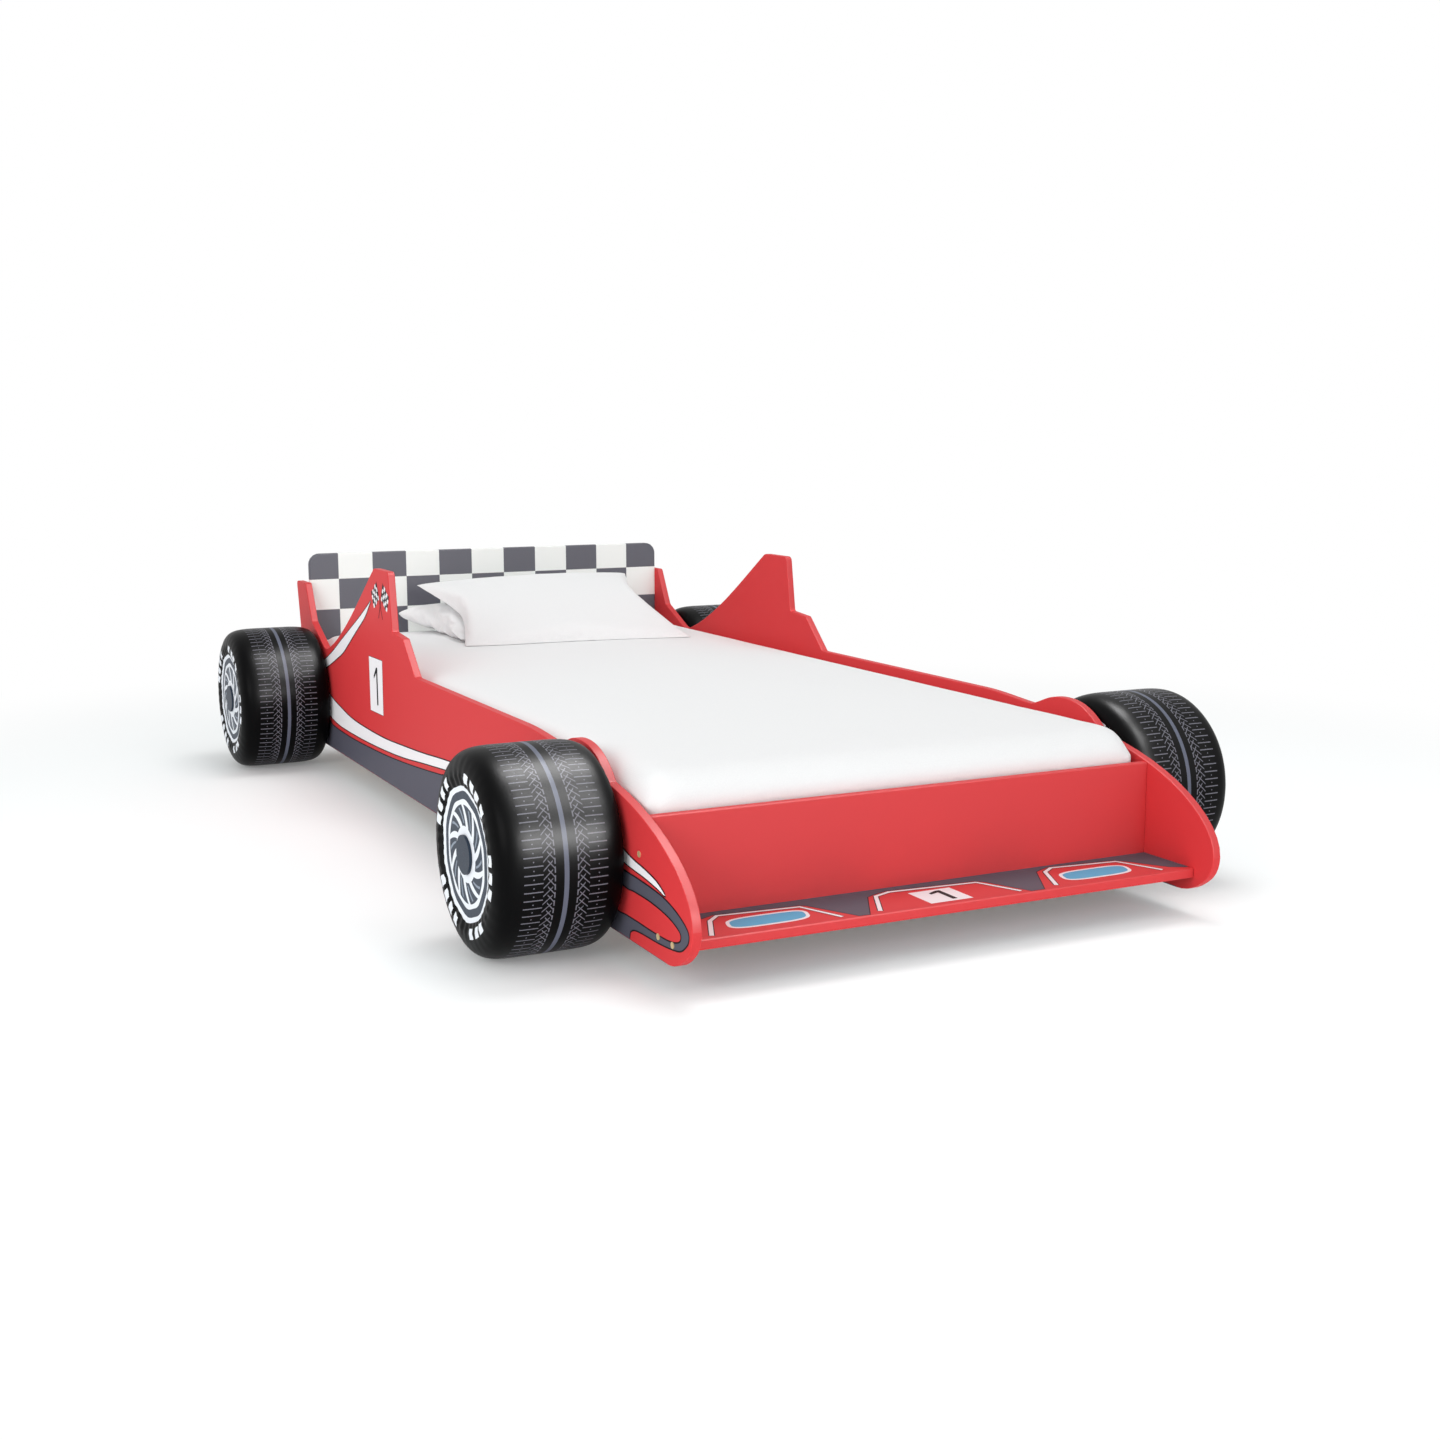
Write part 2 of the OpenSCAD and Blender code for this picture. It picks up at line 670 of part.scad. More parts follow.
// A closed skin over rings of equal length, the lowest first, capped by the points low and high
module skin(rings, low, high) {
    n = len(rings[0]);
    last = len(rings) - 1;
    points = concat([low], [for (r = rings) each r], [high]);
    side = [for (k = [0 : last - 1], i = [0 : n - 1]) let (
        a = 1 + k * n + i, b = 1 + k * n + (i + 1) % n, c = a + n, d = b + n)
        each [[a, c, b], [b, c, d]]];
    floor_fan = [for (i = [0 : n - 1]) [0, 1 + i, 1 + (i + 1) % n]];
    top_fan = [for (i = [0 : n - 1]) let (a = 1 + last * n) [a + i, len(points) - 1, a + (i + 1) % n]];
    polyhedron(points, concat(side, floor_fan, top_fan), convexity = 4);
}

// Mattress: rounded edges, side borders that swell a little and a crowned top
module mattress() {
    half = [mattress_w / 2, mattress_l / 2];
    r = mattress_corner_r;
    edge = mattress_edge_r;
    low = [for (a = [0 : 30 : 90]) [edge * (1 - sin(a)), edge * (1 - cos(a))]];
    swell = [[-mattress_bulge, mattress_h / 2]];
    high = [for (a = [90 : -30 : 0]) [edge * (1 - sin(a)), mattress_h - edge * (1 - cos(a))]];
    border = [for (p = concat(low, swell, high)) ring(half - [p.x, p.x], r, 0, p.y)];
    flat_half = half - [edge, edge];
    crown = [for (share = [0.8, 0.55, 0.3])
        ring(flat_half * share, r * share, 0, mattress_h + mattress_crown * (1 - share * share))];
    color("white") placed() translate([0, mattress_y, deck_z])
        skin(concat(border, crown), [0, 0, 0], [0, 0, mattress_h + mattress_crown]);
}

// The plane of the front pillow's underside: its height above the point at, in the bed's own frame
function press_plane(at) = let (
    n = [sin(front_pillow_tilt) * sin(front_pillow_turn), -sin(front_pillow_tilt) * cos(front_pillow_turn),
         cos(front_pillow_tilt)],
    d = at - front_pillow_place)
    front_pillow_z - (front_pillow_under + seat + n.x * d.x + n.y * d.y) / n.z;

// The points of a ring pressed down evenly, so that a column as high as top stays below the plane
function pressed(points, under, top) = [
    for (p = points) let (
        c = cos(back_pillow_turn),
        s = sin(back_pillow_turn),
        at = back_pillow_place + [c * p.x - s * p.y, s * p.x + c * p.y],
        room = max(press_plane(at) - rest_z - seat, pressed_min),
        k = min(1, room / (under + top)))
    [p.x, p.y, (p.z + under) * k - under]];

// A pillow round its seam: sides drawn in between pointed corners, its two faces as full as said
module pillow(top, under, press = false) {
    half = [pillow_l / 2, pillow_w / 2];
    function form(share, full) = pow(1 - pow(share, full[0]), full[1]);
    function pad_ring(share, z) = let (
        soften = half.y * share * (1 - share * share),
        points = ring(half * share, pillow_corner_r * share + soften, pillow_draw * pow(share, 3), z))
        press ? pressed(points, under, top * form(share, plump)) : points;
    low = [for (share = pad_shares) pad_ring(share, -under * form(share, squashed))];
    high = [for (i = [len(pad_shares) - 2 : -1 : 0])
        pad_ring(pad_shares[i], top * form(pad_shares[i], plump))];
    peak = press ? pressed([[0, 0, top]], under, top)[0] : [0, 0, top];
    skin(concat(low, high), [0, 0, -under], peak);
}

// Height of the crowned mattress top where the lower pillow touches it
touch_share = (back_pillow_place.y - back_pillow_touch_share * pillow_w - mattress_y)
    / (mattress_l / 2 - mattress_edge_r);
rest_z = deck_z + mattress_h + mattress_crown * (1 - touch_share * touch_share);
front_pillow_z = rest_z + front_pillow_lift + sin(front_pillow_tilt) * pillow_w / 2;

module pillow_back() {
    color("white") placed()
        translate([back_pillow_place.x, back_pillow_place.y, rest_z + seat + back_pillow_under])
            rotate([0, 0, back_pillow_turn]) pillow(back_pillow_top, back_pillow_under, press = true);
}

module pillow_front() {
    color("white") placed() translate([front_pillow_place.x, front_pillow_place.y, front_pillow_z])
        rotate([0, 0, front_pillow_turn]) rotate([front_pillow_tilt, 0, 0])
            pillow(front_pillow_top, front_pillow_under);
}

side_panel(LEFT);  // side_panel_left
side_panel(RIGHT);  // side_panel_right
front_board();
nose_shelf();
headboard();
side_rail(LEFT);  // side_rail_left
side_rail(RIGHT);  // side_rail_right
bearer(bearer_front_y);  // bearer_front
bearer(bearer_middle_y);  // bearer_middle
bearer(bearer_rear_y);  // bearer_rear
leg(bearer_front_y, LEFT);  // leg_front_left
leg(bearer_front_y, RIGHT);  // leg_front_right
leg(bearer_middle_y, LEFT);  // leg_middle_left
leg(bearer_middle_y, RIGHT);  // leg_middle_right
leg(bearer_rear_y, LEFT);  // leg_rear_left
leg(bearer_rear_y, RIGHT);  // leg_rear_right
leg_bolts();
foot_glides();
bearer_brackets();
for (i = [1 : slat_count])
    slat(i);
slat_strap(LEFT);  // slat_strap_left
slat_strap(RIGHT);  // slat_strap_right
for (place = [0, 1], side = [LEFT, RIGHT]) {
    corner = str(place == 0 ? "front_" : "rear_", side == LEFT ? "left" : "right");
    wheel(place, side);
    valve(place, side);
    wheel_peg(place, side);
    hub_cap(place, side);
}
peg_bolts();
board_bolts();
cross_dowel_nuts();
rail_screws();
mattress();
pillow_front();
pillow_back();
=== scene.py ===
import math
import bpy
import bmesh
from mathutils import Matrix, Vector, noise


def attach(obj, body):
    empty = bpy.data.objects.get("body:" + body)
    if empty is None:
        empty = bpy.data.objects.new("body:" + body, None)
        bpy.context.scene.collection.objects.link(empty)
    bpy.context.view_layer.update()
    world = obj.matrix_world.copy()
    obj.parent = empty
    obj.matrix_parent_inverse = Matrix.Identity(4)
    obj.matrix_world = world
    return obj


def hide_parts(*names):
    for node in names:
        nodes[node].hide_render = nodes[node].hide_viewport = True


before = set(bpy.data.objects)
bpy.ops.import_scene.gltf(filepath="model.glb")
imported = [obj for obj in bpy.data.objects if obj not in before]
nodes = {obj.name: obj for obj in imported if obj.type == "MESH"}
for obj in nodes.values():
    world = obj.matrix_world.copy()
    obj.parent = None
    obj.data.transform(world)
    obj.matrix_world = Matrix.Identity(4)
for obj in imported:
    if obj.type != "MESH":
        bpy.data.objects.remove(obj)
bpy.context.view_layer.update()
mm = 0.001


print("frame loaded,", len(nodes), "nodes")

# What lines up with the boards: all in millimetres, y counted from the front board's outer face
bed = {
    "originY": 967.87,
    "panelOut": 488.5,
    "shelfTop": 85,
    "axleYs": {"front": 196, "rear": 1942},
    "axleZ": 168.5,
    "wheelX": 596.5,
    "footLine": [[-118, 42], [700, 49], [2080, 52]],
}


def linear(hexColour):
    # sRGB hex to the linear numbers that the shader wants
    rgb = [int(hexColour[i:i + 2], 16) / 255 for i in (1, 3, 5)]
    return tuple(c / 12.92 if c <= 0.04045 else ((c + 0.055) / 1.055) ** 2.4
                 for c in rgb) + (1.0,)


def addNode(tree, kind, inputs=None, **settings):
    # an input is a value, a socket, or a node whose first output it takes
    node = tree.nodes.new("ShaderNode" + kind)
    for name, value in settings.items():
        setattr(node, name, value)
    for socket, value in (inputs or {}).items():
        if isinstance(value, bpy.types.Node):
            value = value.outputs[0]
        if isinstance(value, bpy.types.NodeSocket):
            tree.links.new(value, node.inputs[socket])
        else:
            node.inputs[socket].default_value = value
    return node


def newMaterial(name, **shaderValues):
    material = bpy.data.materials.new(name)
    material.use_nodes = True
    tree = material.node_tree
    shader = tree.nodes["Principled BSDF"]
    for socket, value in shaderValues.items():
        shader.inputs[socket.replace("_", " ")].default_value = value
    return material, tree, shader


def addObject(name, bm, materials):
    name = name.replace(" ", "_")
    mesh = bpy.data.meshes.new(name)
    bm.to_mesh(mesh)
    bm.free()
    obj = bpy.data.objects.new(name, mesh)
    bpy.context.scene.collection.objects.link(obj)
    for material in materials:
        mesh.materials.append(material)
    return obj


def cadCopy(nodeName):
    # merged copy of a CAD node's loose triangles, flat areas joined up
    bm = bmesh.new()
    bm.from_mesh(nodes[nodeName].data)
    bmesh.ops.remove_doubles(bm, verts=bm.verts, dist=boards["mergeMm"] * mm)
    bmesh.ops.dissolve_limit(bm, angle_limit=math.radians(boards["flatTurn"]), verts=bm.verts,
                             edges=bm.edges)
    return bm


def smoothByAngle(bm, degrees):
    for face in bm.faces:
        face.smooth = True
    for edge in bm.edges:
        edge.smooth = edge.calc_face_angle(0) < math.radians(degrees)


def perMetre(cellMm):
    # texture scale that draws cells of this size
    return 1000 / cellMm


def bandsPerMetre(pitchMm):
    # texture scale that draws bands of this pitch: a wave repeats every 2 pi / 20 of its scale
    return 2 * math.pi * 1000 / (20 * pitchMm)


def throughPoints(points, steps):
    # smooth line through picked points
    line = []
    for i in range(len(points) - 1):
        p0, p1 = points[max(i - 1, 0)], points[i]
        p2, p3 = points[i + 1], points[min(i + 2, len(points) - 1)]
        for k in range(steps):
            t = k / steps
            line.append([0.5 * (2 * b + (c - a) * t + (2 * a - 5 * b + 4 * c - d) * t ** 2
                                + (3 * b - a - 3 * c + d) * t ** 3)
                         for a, b, c, d in zip(p0, p1, p2, p3)])
    return line + [list(points[-1])]


def footZ(y):
    # height of the panel's bottom edge at y, and the rounding above it, where no print reaches
    line = [[a - bed["originY"], b] for a, b in bed["footLine"]]
    for a, b in zip(line, line[1:]):
        if y <= b[0] or b is line[-1]:
            return a[1] + (b[1] - a[1]) * (y - a[0]) / (b[0] - a[0]) + boards["edgeRoundMm"]


# MDF sealed, sprayed and printed: an even colour with a soft gloss, no grain, and the faint orange
# peel of a sprayed coat, waves of 4.5 mm that only the highlights show
lacquer = {"red": "#D43C3F", "slate": "#565662", "white": "#F2F0F3", "ink": "#131317",
           "blue": "#5BAFD6", "headSlate": "#63636C", "headWhite": "#F8FBF8", "roughness": 0.46,
           "ior": 1.5, "gloss": 0.06, "peelMm": 4.5, "peelStrength": 0.03}


def lacquerMaterial(name, colour):
    material, tree, shader = newMaterial(
        name, Base_Color=linear(colour), Roughness=lacquer["roughness"], IOR=lacquer["ior"],
        Specular_IOR_Level=lacquer["gloss"])
    place = addNode(tree, "TexCoord")
    ripple = addNode(tree, "TexNoise", {"Vector": place.outputs["Object"],
                                        "Scale": perMetre(lacquer["peelMm"]), "Detail": 1.0})
    bump = addNode(tree, "Bump", {"Height": ripple.outputs["Fac"],
                                  "Strength": lacquer["peelStrength"], "Distance": 0.0005})
    tree.links.new(bump.outputs["Normal"], shader.inputs["Normal"])
    return material


redLacquer = lacquerMaterial("red lacquer sprayed on MDF", lacquer["red"])
slatePrint = lacquerMaterial("slate ink printed on lacquer", lacquer["slate"])
whitePrint = lacquerMaterial("white ink printed on lacquer", lacquer["white"])
inkPrint = lacquerMaterial("black ink printed on lacquer", lacquer["ink"])
bluePrint = lacquerMaterial("blue ink printed on lacquer", lacquer["blue"])

# softwood sawn and planed, left bare: pale and matt, with streaks of darker grain along each piece,
# their width two growth rings of 9 mm
wood = {"light": "#E6CDA2", "dark": "#CFA874", "ringMm": 9, "roughness": 0.62, "stretch": 0.05,
        "stops": [0.38, 0.62]}


def woodMaterial(name, grainAlong):
    material, tree, shader = newMaterial(name, Roughness=wood["roughness"])
    place = addNode(tree, "TexCoord")
    stretch = [1.0, 1.0, 1.0]
    stretch["XYZ".index(grainAlong)] = wood["stretch"]
    turned = addNode(tree, "Mapping", {"Vector": place.outputs["Object"], "Scale": stretch})
    grain = addNode(tree, "TexNoise", {"Vector": turned.outputs["Vector"],
                                       "Scale": perMetre(2 * wood["ringMm"]), "Detail": 4.0,
                                       "Distortion": 0.4})
    colour = addNode(tree, "ValToRGB", {"Fac": grain.outputs["Fac"]})
    for stop, position, shade in zip(colour.color_ramp.elements, wood["stops"], ("dark", "light")):
        stop.position = position
        stop.color = linear(wood[shade])
    tree.links.new(colour.outputs["Color"], shader.inputs["Base Color"])
    return material


woodAlongX = woodMaterial("planed pine across the bed", "X")
woodAlongY = woodMaterial("planed pine along the bed", "Y")
woodAlongZ = woodMaterial("planed pine upright", "Z")

# Small fittings. Each grain is finer than a pixel in the photo, so it is drawn as coarse as named
hardware = {
    # turned steel dipped in zinc: grey metal, its shine broken by crystals of 1.4 mm, really 0.1 mm
    "zinc plated steel": {"colour": "#B9BDC3", "metal": 1.0, "rough": [0.24, 0.44],
                          "grainMm": 1.4, "depth": 0.06},
    # rolled bolt heads plated with brass: small warm points, softly worn, the same crystals
    "brass plated steel": {"colour": "#E6CD9C", "metal": 0.6, "rough": [0.42, 0.58],
                           "grainMm": 1.4, "depth": 0.06},
    # injection moulded in a spark-eroded tool: black and matt, pits of 0.7 mm, really 0.05 mm
    "moulded black nylon": {"colour": "#1E1E20", "metal": 0.0, "rough": [0.42, 0.6],
                            "grainMm": 0.7, "depth": 0.25},
    # dip moulded: black with a soft wet gloss and slow waves of 3.3 mm
    "soft moulded vinyl": {"colour": "#1C1C20", "metal": 0.0, "rough": [0.26, 0.4],
                           "grainMm": 3.3, "depth": 0.05},
    # injection moulded in a polished tool: smooth slate with flow waves of 2 mm
    "smooth moulded plastic, slate": {"colour": "#2C3644", "metal": 0.0, "rough": [0.4, 0.5],
                                      "grainMm": 2.0, "depth": 0.04},
    # woven on a narrow loom: matt cream ribs of 2 mm crossed by 2.9 mm, with fuzz between them
    "woven polyester webbing": {"colour": "#E4E2DA", "metal": 0.0, "rough": [0.75, 0.95],
                                "grainMm": 1.1, "depth": 0.1, "ribsMm": {"Y": 2.0, "Z": 2.9}},
}


def fittingMaterial(name):
    look = hardware[name]
    material, tree, shader = newMaterial(name, Base_Color=linear(look["colour"]),
                                         Metallic=look["metal"], Specular_IOR_Level=0.15)
    place = addNode(tree, "TexCoord")
    grain = addNode(tree, "TexNoise", {"Vector": place.outputs["Object"],
                                       "Scale": perMetre(look["grainMm"]), "Detail": 3.0})
    wear = addNode(tree, "MapRange", {"Value": grain.outputs["Fac"], "From Min": 0.3,
                                      "From Max": 0.7, "To Min": look["rough"][0],
                                      "To Max": look["rough"][1]})
    tree.links.new(wear.outputs["Result"], shader.inputs["Roughness"])
    height = grain.outputs["Fac"]
    if "ribsMm" in look:
        ribs = [addNode(tree, "TexWave", {"Vector": place.outputs["Object"],
                                          "Scale": bandsPerMetre(pitch), "Distortion": 0.4},
                        bands_direction=axis) for axis, pitch in look["ribsMm"].items()]
        height = addNode(tree, "Math", {0: ribs[0].outputs["Fac"], 1: ribs[1].outputs["Fac"]},
                         operation="ADD").outputs[0]
    bump = addNode(tree, "Bump", {"Height": height, "Strength": look["depth"],
                                  "Distance": 0.0006})
    tree.links.new(bump.outputs["Normal"], shader.inputs["Normal"])
    return material


zinc = fittingMaterial("zinc plated steel")
brass = fittingMaterial("brass plated steel")
blackPlastic = fittingMaterial("moulded black nylon")
webbing = fittingMaterial("woven polyester webbing")
valveVinyl = fittingMaterial("soft moulded vinyl")
capPlastic = fittingMaterial("smooth moulded plastic, slate")


def nodeFinish(name):
    if name.startswith("side_rail"):
        return woodAlongY
    if name.startswith("leg_") and name != "leg_bolts":
        return woodAlongZ
    if name.startswith("slat_strap"):
        return webbing
    if name.startswith(("slat_", "bearer_", "wheel_peg")) and name != "bearer_brackets":
        return woodAlongX
    if name.startswith("hub_cap"):
        return capPlastic
    if name.startswith("valve"):
        return valveVinyl
    if name == "foot_glides":
        return blackPlastic
    if name == "board_bolts":
        return brass
    return zinc


for name, node in nodes.items():
    node.data.materials.clear()
    node.data.materials.append(nodeFinish(name))
print("finishes made")

# the slate print also runs round the side panels' bottom edge: up to slateTop, along slateRun;
# sideOn and facing are how squarely a face looks sideways or down
boards = {"mergeMm": 0.02, "flatTurn": 0.3, "edgeRoundMm": 2.2, "segments": 3, "rimEdgeMm": 1.0,
          "printLiftMm": 0.2, "outlineTurn": 30, "smoothTurn": 35, "slateTop": 54.5,
          "slateRun": [60, 2070], "sideOn": 0.98, "facing": 0.9}


def board(nodeName, materials, pickFace=None):
    bm = cadCopy(nodeName)
    edges = [e for e in bm.edges if e.calc_face_angle(0) > math.radians(boards["outlineTurn"])
             and e.calc_length() > boards["rimEdgeMm"] * mm]
    # only the board's own outline is eased, the drilled holes stay sharp
    bmesh.ops.bevel(bm, geom=edges, offset=boards["edgeRoundMm"] * mm, offset_type="OFFSET",
                    segments=boards["segments"], profile=0.5, affect="EDGES", material=-1,
                    clamp_overlap=True)
    smoothByAngle(bm, boards["smoothTurn"])
    if pickFace:
        for face in bm.faces:
            face.material_index = pickFace(face)
    obj = addObject(nodeName + " board", bm, materials)
    keepFlat = obj.modifiers.new("flat faces", "WEIGHTED_NORMAL")
    keepFlat.keep_sharp = True
    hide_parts(nodeName)
    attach(obj, "bed")


def slateEdge(face):
    centre = face.calc_center_median()
    first, last = [(y - bed["originY"]) * mm for y in boards["slateRun"]]
    onEdge = abs(face.normal.x) < boards["sideOn"] and centre.z < boards["slateTop"] * mm
    return 1 if onEdge and first < centre.y < last else 0


# the shelf's underside takes the slate print like the panels' bottom edges; it is dark so that less
# red light bounces off it onto the floor and the shadow below comes out darker and grey: shade
# painted through the underside's colour
def slateUndersideForShade(face):
    return 1 if face.normal.z < -boards["facing"] else 0


for side in ("left", "right"):
    board("side_panel_" + side, [redLacquer, slatePrint], slateEdge)
board("front_board", [redLacquer])
# the shelf's underside is dark slate so that the floor's shadow under it is darker and grey:
# painted shade
board("nose_shelf", [redLacquer, slatePrint], slateUndersideForShade)

# chequer printed on the headboard: column borders and row borders in millimetres
chequer = {"firstX": -400, "pitchX": 87.5, "firstZ": 439, "pitchZ": 76}
headMaterial, tree, shader = newMaterial(
    "chequer printed on lacquered MDF", Roughness=lacquer["roughness"], IOR=lacquer["ior"],
    Specular_IOR_Level=lacquer["gloss"])
place = addNode(tree, "TexCoord")
axes = addNode(tree, "SeparateXYZ", {"Vector": place.outputs["Object"]})
borders = []
for axis in "XZ":
    start = addNode(tree, "Math", {0: axes.outputs[axis], 1: -chequer["first" + axis] * mm},
                    operation="ADD")
    count = addNode(tree, "Math", {0: start, 1: chequer["pitch" + axis] * mm}, operation="DIVIDE")
    borders.append(addNode(tree, "Math", {0: count}, operation="FLOOR"))
both = addNode(tree, "Math", {0: borders[0], 1: borders[1]}, operation="ADD")
odd = addNode(tree, "Math", {0: both, 1: 2.0}, operation="FLOORED_MODULO")
colour = addNode(tree, "Mix", {"Factor": odd, "A": linear(lacquer["headWhite"]),
                               "B": linear(lacquer["headSlate"])}, data_type="RGBA")
tree.links.new(colour.outputs[2], shader.inputs["Base Color"])


def headFace(face):
    return 1 if face.normal.y > boards["facing"] else 0


board("headboard", [headMaterial, whitePrint], headFace)
print("boards made")

# Picked along the photo in the drawing's own scale; toPanel brings them to the bed
drawing = {"scale": 1.0385, "tilt": 0.0137, "rise": 42.6, "shelfRise": 38.5}


def toPanel(point):
    y, z = point
    k, s = drawing["scale"], drawing["tilt"]
    return [(y + s * z) * k - bed["originY"], (z - s * y + drawing["rise"]) * k]


stripes = {
    "upper": [[1374, 401], [1396, 390], [1463, 360], [1549, 325], [1620, 296], [1694, 265],
              [1750, 244], [1800, 228]],
    "upperBack": [[1800, 208], [1736, 227], [1670, 248], [1613, 268], [1556, 296], [1501, 324],
                  [1454, 347], [1416, 368], [1374, 401]],
    "lower": [[1800, 170], [1717, 149], [1654, 138], [1561, 125], [1442, 119], [1301, 117],
              [1169, 121], [1044, 126], [927, 133], [849, 137], [640, 150], [420, 163],
              [200, 168], [110, 150], [64, 134], [28, 125], [-15, 118], [-54, 109], [-82, 96]],
    "lowerBack": [[-76, 96], [-54, 101], [-14, 107], [26, 111], [64, 116], [110, 128], [200, 142],
                  [420, 140], [640, 129], [862, 119], [929, 115], [1047, 107], [1172, 98],
                  [1305, 93], [1447, 91], [1567, 92], [1661, 95], [1725, 102], [1800, 116]],
    "slateTop": [[1800, 100], [1748, 90], [1726, 86], [1662, 82], [1568, 79], [1449, 79],
                 [1307, 81], [1174, 86], [1048, 93], [930, 101], [896, 104], [640, 116],
                 [420, 124], [200, 120], [110, 110], [65, 102], [12, 99], [-40, 95], [-79, 90],
                 [-116, 80], [-143, 68], [-155, 58], [-154, 47], [-144, 37], [-127, 28],
                 [-97, 24], [-54, 22], [-12, 22], [21, 21], [37, 17], [44, 10], [46, -8]],
    "slateHole": [[200, 104], [66, 80], [27, 79], [-27, 77], [-78, 71], [-111, 63], [-130, 54],
                  [-131, 43], [-118, 36], [-90, 32], [-39, 32], [15, 34], [56, 35], [93, 36],
                  [160, 60], [200, 104]],
    "slateEnd": [1800, -20],
    "outlineMm": 2.4,
    "curveSteps": 6,
}
plate = {"corners": [[1404, 281], [1305, 280.5], [1309, 165], [1404, 165]],
         "figure": [[1371, 243], [1352, 262], [1343, 262], [1343, 182], [1352, 182], [1352, 250],
                    [1371, 236]],
         "outlineMm": 1.6}
# how many lifts off the board each layer of the print lies
layers = {"plateEdge": 0.6, "slateEdge": 1, "plate": 1.2, "slate": 1.5, "stripeEdge": 2,
          "hookEdge": 2, "figure": 2, "hook": 2.5, "pole": 2.5, "stripe": 3,
          "flagWhite": 1, "flagDark": 2}


def widened(points, extra):
    # the outline pushed outwards, for the thin black line round a print
    turn = sum(a[0] * b[1] - b[0] * a[1] for a, b in zip(points, points[1:] + points[:1]))
    sign = 1 if turn > 0 else -1
    wide = []
    for i, point in enumerate(points):
        before, after = points[i - 1], points[(i + 1) % len(points)]
        along = Vector(after) - Vector(before)
        if along.length < 1e-6:
            along = Vector((1, 0))
        away = Vector((along.y, -along.x)).normalized() * sign * extra
        wide.append([point[0] + away.x, point[1] + away.y])
    return wide


def printPiece(name, side, outline, material, layer):
    # one flat print on the outside of a side panel, kept above the rounding of the bottom edge
    bm = bmesh.new()
    x = side * (bed["panelOut"] + boards["printLiftMm"] * layers[layer]) * mm
    face = bm.faces.new([bm.verts.new((x, y * mm, max(z, footZ(y)) * mm)) for y, z in outline])
    face.normal_update()
    if face.normal.x * side < 0:
        bmesh.ops.reverse_faces(bm, faces=bm.faces)
    bmesh.ops.triangulate(bm, faces=bm.faces)
    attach(addObject(name, bm, [material]), "bed")


def curveOn(points):
    return [toPanel(p) for p in throughPoints(points, stripes["curveSteps"])]


upperStripe = curveOn(stripes["upper"]) + curveOn(stripes["upperBack"])[:-1]
lowerStripe = curveOn(stripes["lower"]) + curveOn(stripes["lowerBack"])
knee = bed["footLine"][1]
slateArea = curveOn(stripes["slateTop"]) + [[knee[0] - bed["originY"], knee[1]],
                                            toPanel(stripes["slateEnd"])]
slateHole = curveOn(stripes["slateHole"])[:-1]

for side, word in ((-1, "left"), (1, "right")):
    for label, outline in (("upper stripe", upperStripe), ("lower stripe", lowerStripe)):
        printPiece("%s outline %s" % (label, word), side, widened(outline, stripes["outlineMm"]),
                   inkPrint, "stripeEdge")
        printPiece("%s %s" % (label, word), side, outline, whitePrint, "stripe")
    printPiece("slate outline " + word, side, widened(slateArea, stripes["outlineMm"]), inkPrint,
               "slateEdge")
    printPiece("slate area " + word, side, slateArea, slatePrint, "slate")
    printPiece("slate hook outline " + word, side, slateHole, inkPrint, "hookEdge")
    printPiece("slate hook inside " + word, side, widened(slateHole, -stripes["outlineMm"]),
               redLacquer, "hook")
    sheet = [toPanel(p) for p in plate["corners"]]
    printPiece("number plate edge " + word, side, widened(sheet, plate["outlineMm"]), inkPrint,
               "plateEdge")
    printPiece("number plate " + word, side, sheet, whitePrint, "plate")
    figure = [toPanel(p) for p in plate["figure"]]
    if side > 0:  # the figure reads the right way round on both panels
        middle = sum(p[0] for p in sheet) / len(sheet)
        figure = [[2 * middle - y, z] for y, z in figure]
    printPiece("plate figure " + word, side, figure, inkPrint, "figure")

# two crossed chequered flags on the fin, each leaning away from the other and rippling a little
flag = {"cell": 9.76, "columns": 5, "rows": 4, "pole": 2.2, "poleHalf": 44, "lean": 27,
        "centre": [1303, 409], "spread": 6, "ripple": 2.0, "rippleTurn": 1.3, "lift": 2}


def onFlag(along, up, lean):
    # a point of a flag, leaning one way or the other, on the side panel
    centreY, centreZ = toPanel(flag["centre"])
    turn = math.radians(flag["lean"]) * lean
    return [centreY + along * math.cos(turn) - up * math.sin(turn),
            centreZ + along * math.sin(turn) + up * math.cos(turn)]


def flagCells(lean, material, parity, layer, name, side):
    bm = bmesh.new()
    x = side * (bed["panelOut"] + boards["printLiftMm"] * layers[layer]) * mm
    for column in range(flag["columns"]):
        for row in range(flag["rows"]):
            if (column + row) % 2 != parity:
                continue
            cell = []
            for a, b in ((0, 0), (1, 0), (1, 1), (0, 1)):
                u = (column + a) * flag["cell"] + flag["spread"]
                ripple = flag["ripple"] * math.sin((column + a) * flag["rippleTurn"])
                y, z = onFlag(u * -lean, (row + b) * flag["cell"] + ripple + flag["lift"], lean)
                cell.append(bm.verts.new((x, y * mm, z * mm)))
            bm.faces.new(cell)
    bmesh.ops.recalc_face_normals(bm, faces=bm.faces)
    for face in bm.faces:
        if face.normal.x * side < 0:
            face.normal_flip()
    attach(addObject(name, bm, [material]), "bed")


def flagPole(lean, name, side):
    half, tip = flag["pole"] / 2, flag["poleHalf"]
    line = [onFlag(u - flag["spread"] * lean, v, lean)
            for u, v in ((-half, -tip), (half, -tip), (half, tip), (-half, tip))]
    printPiece(name, side, line, inkPrint, "pole")


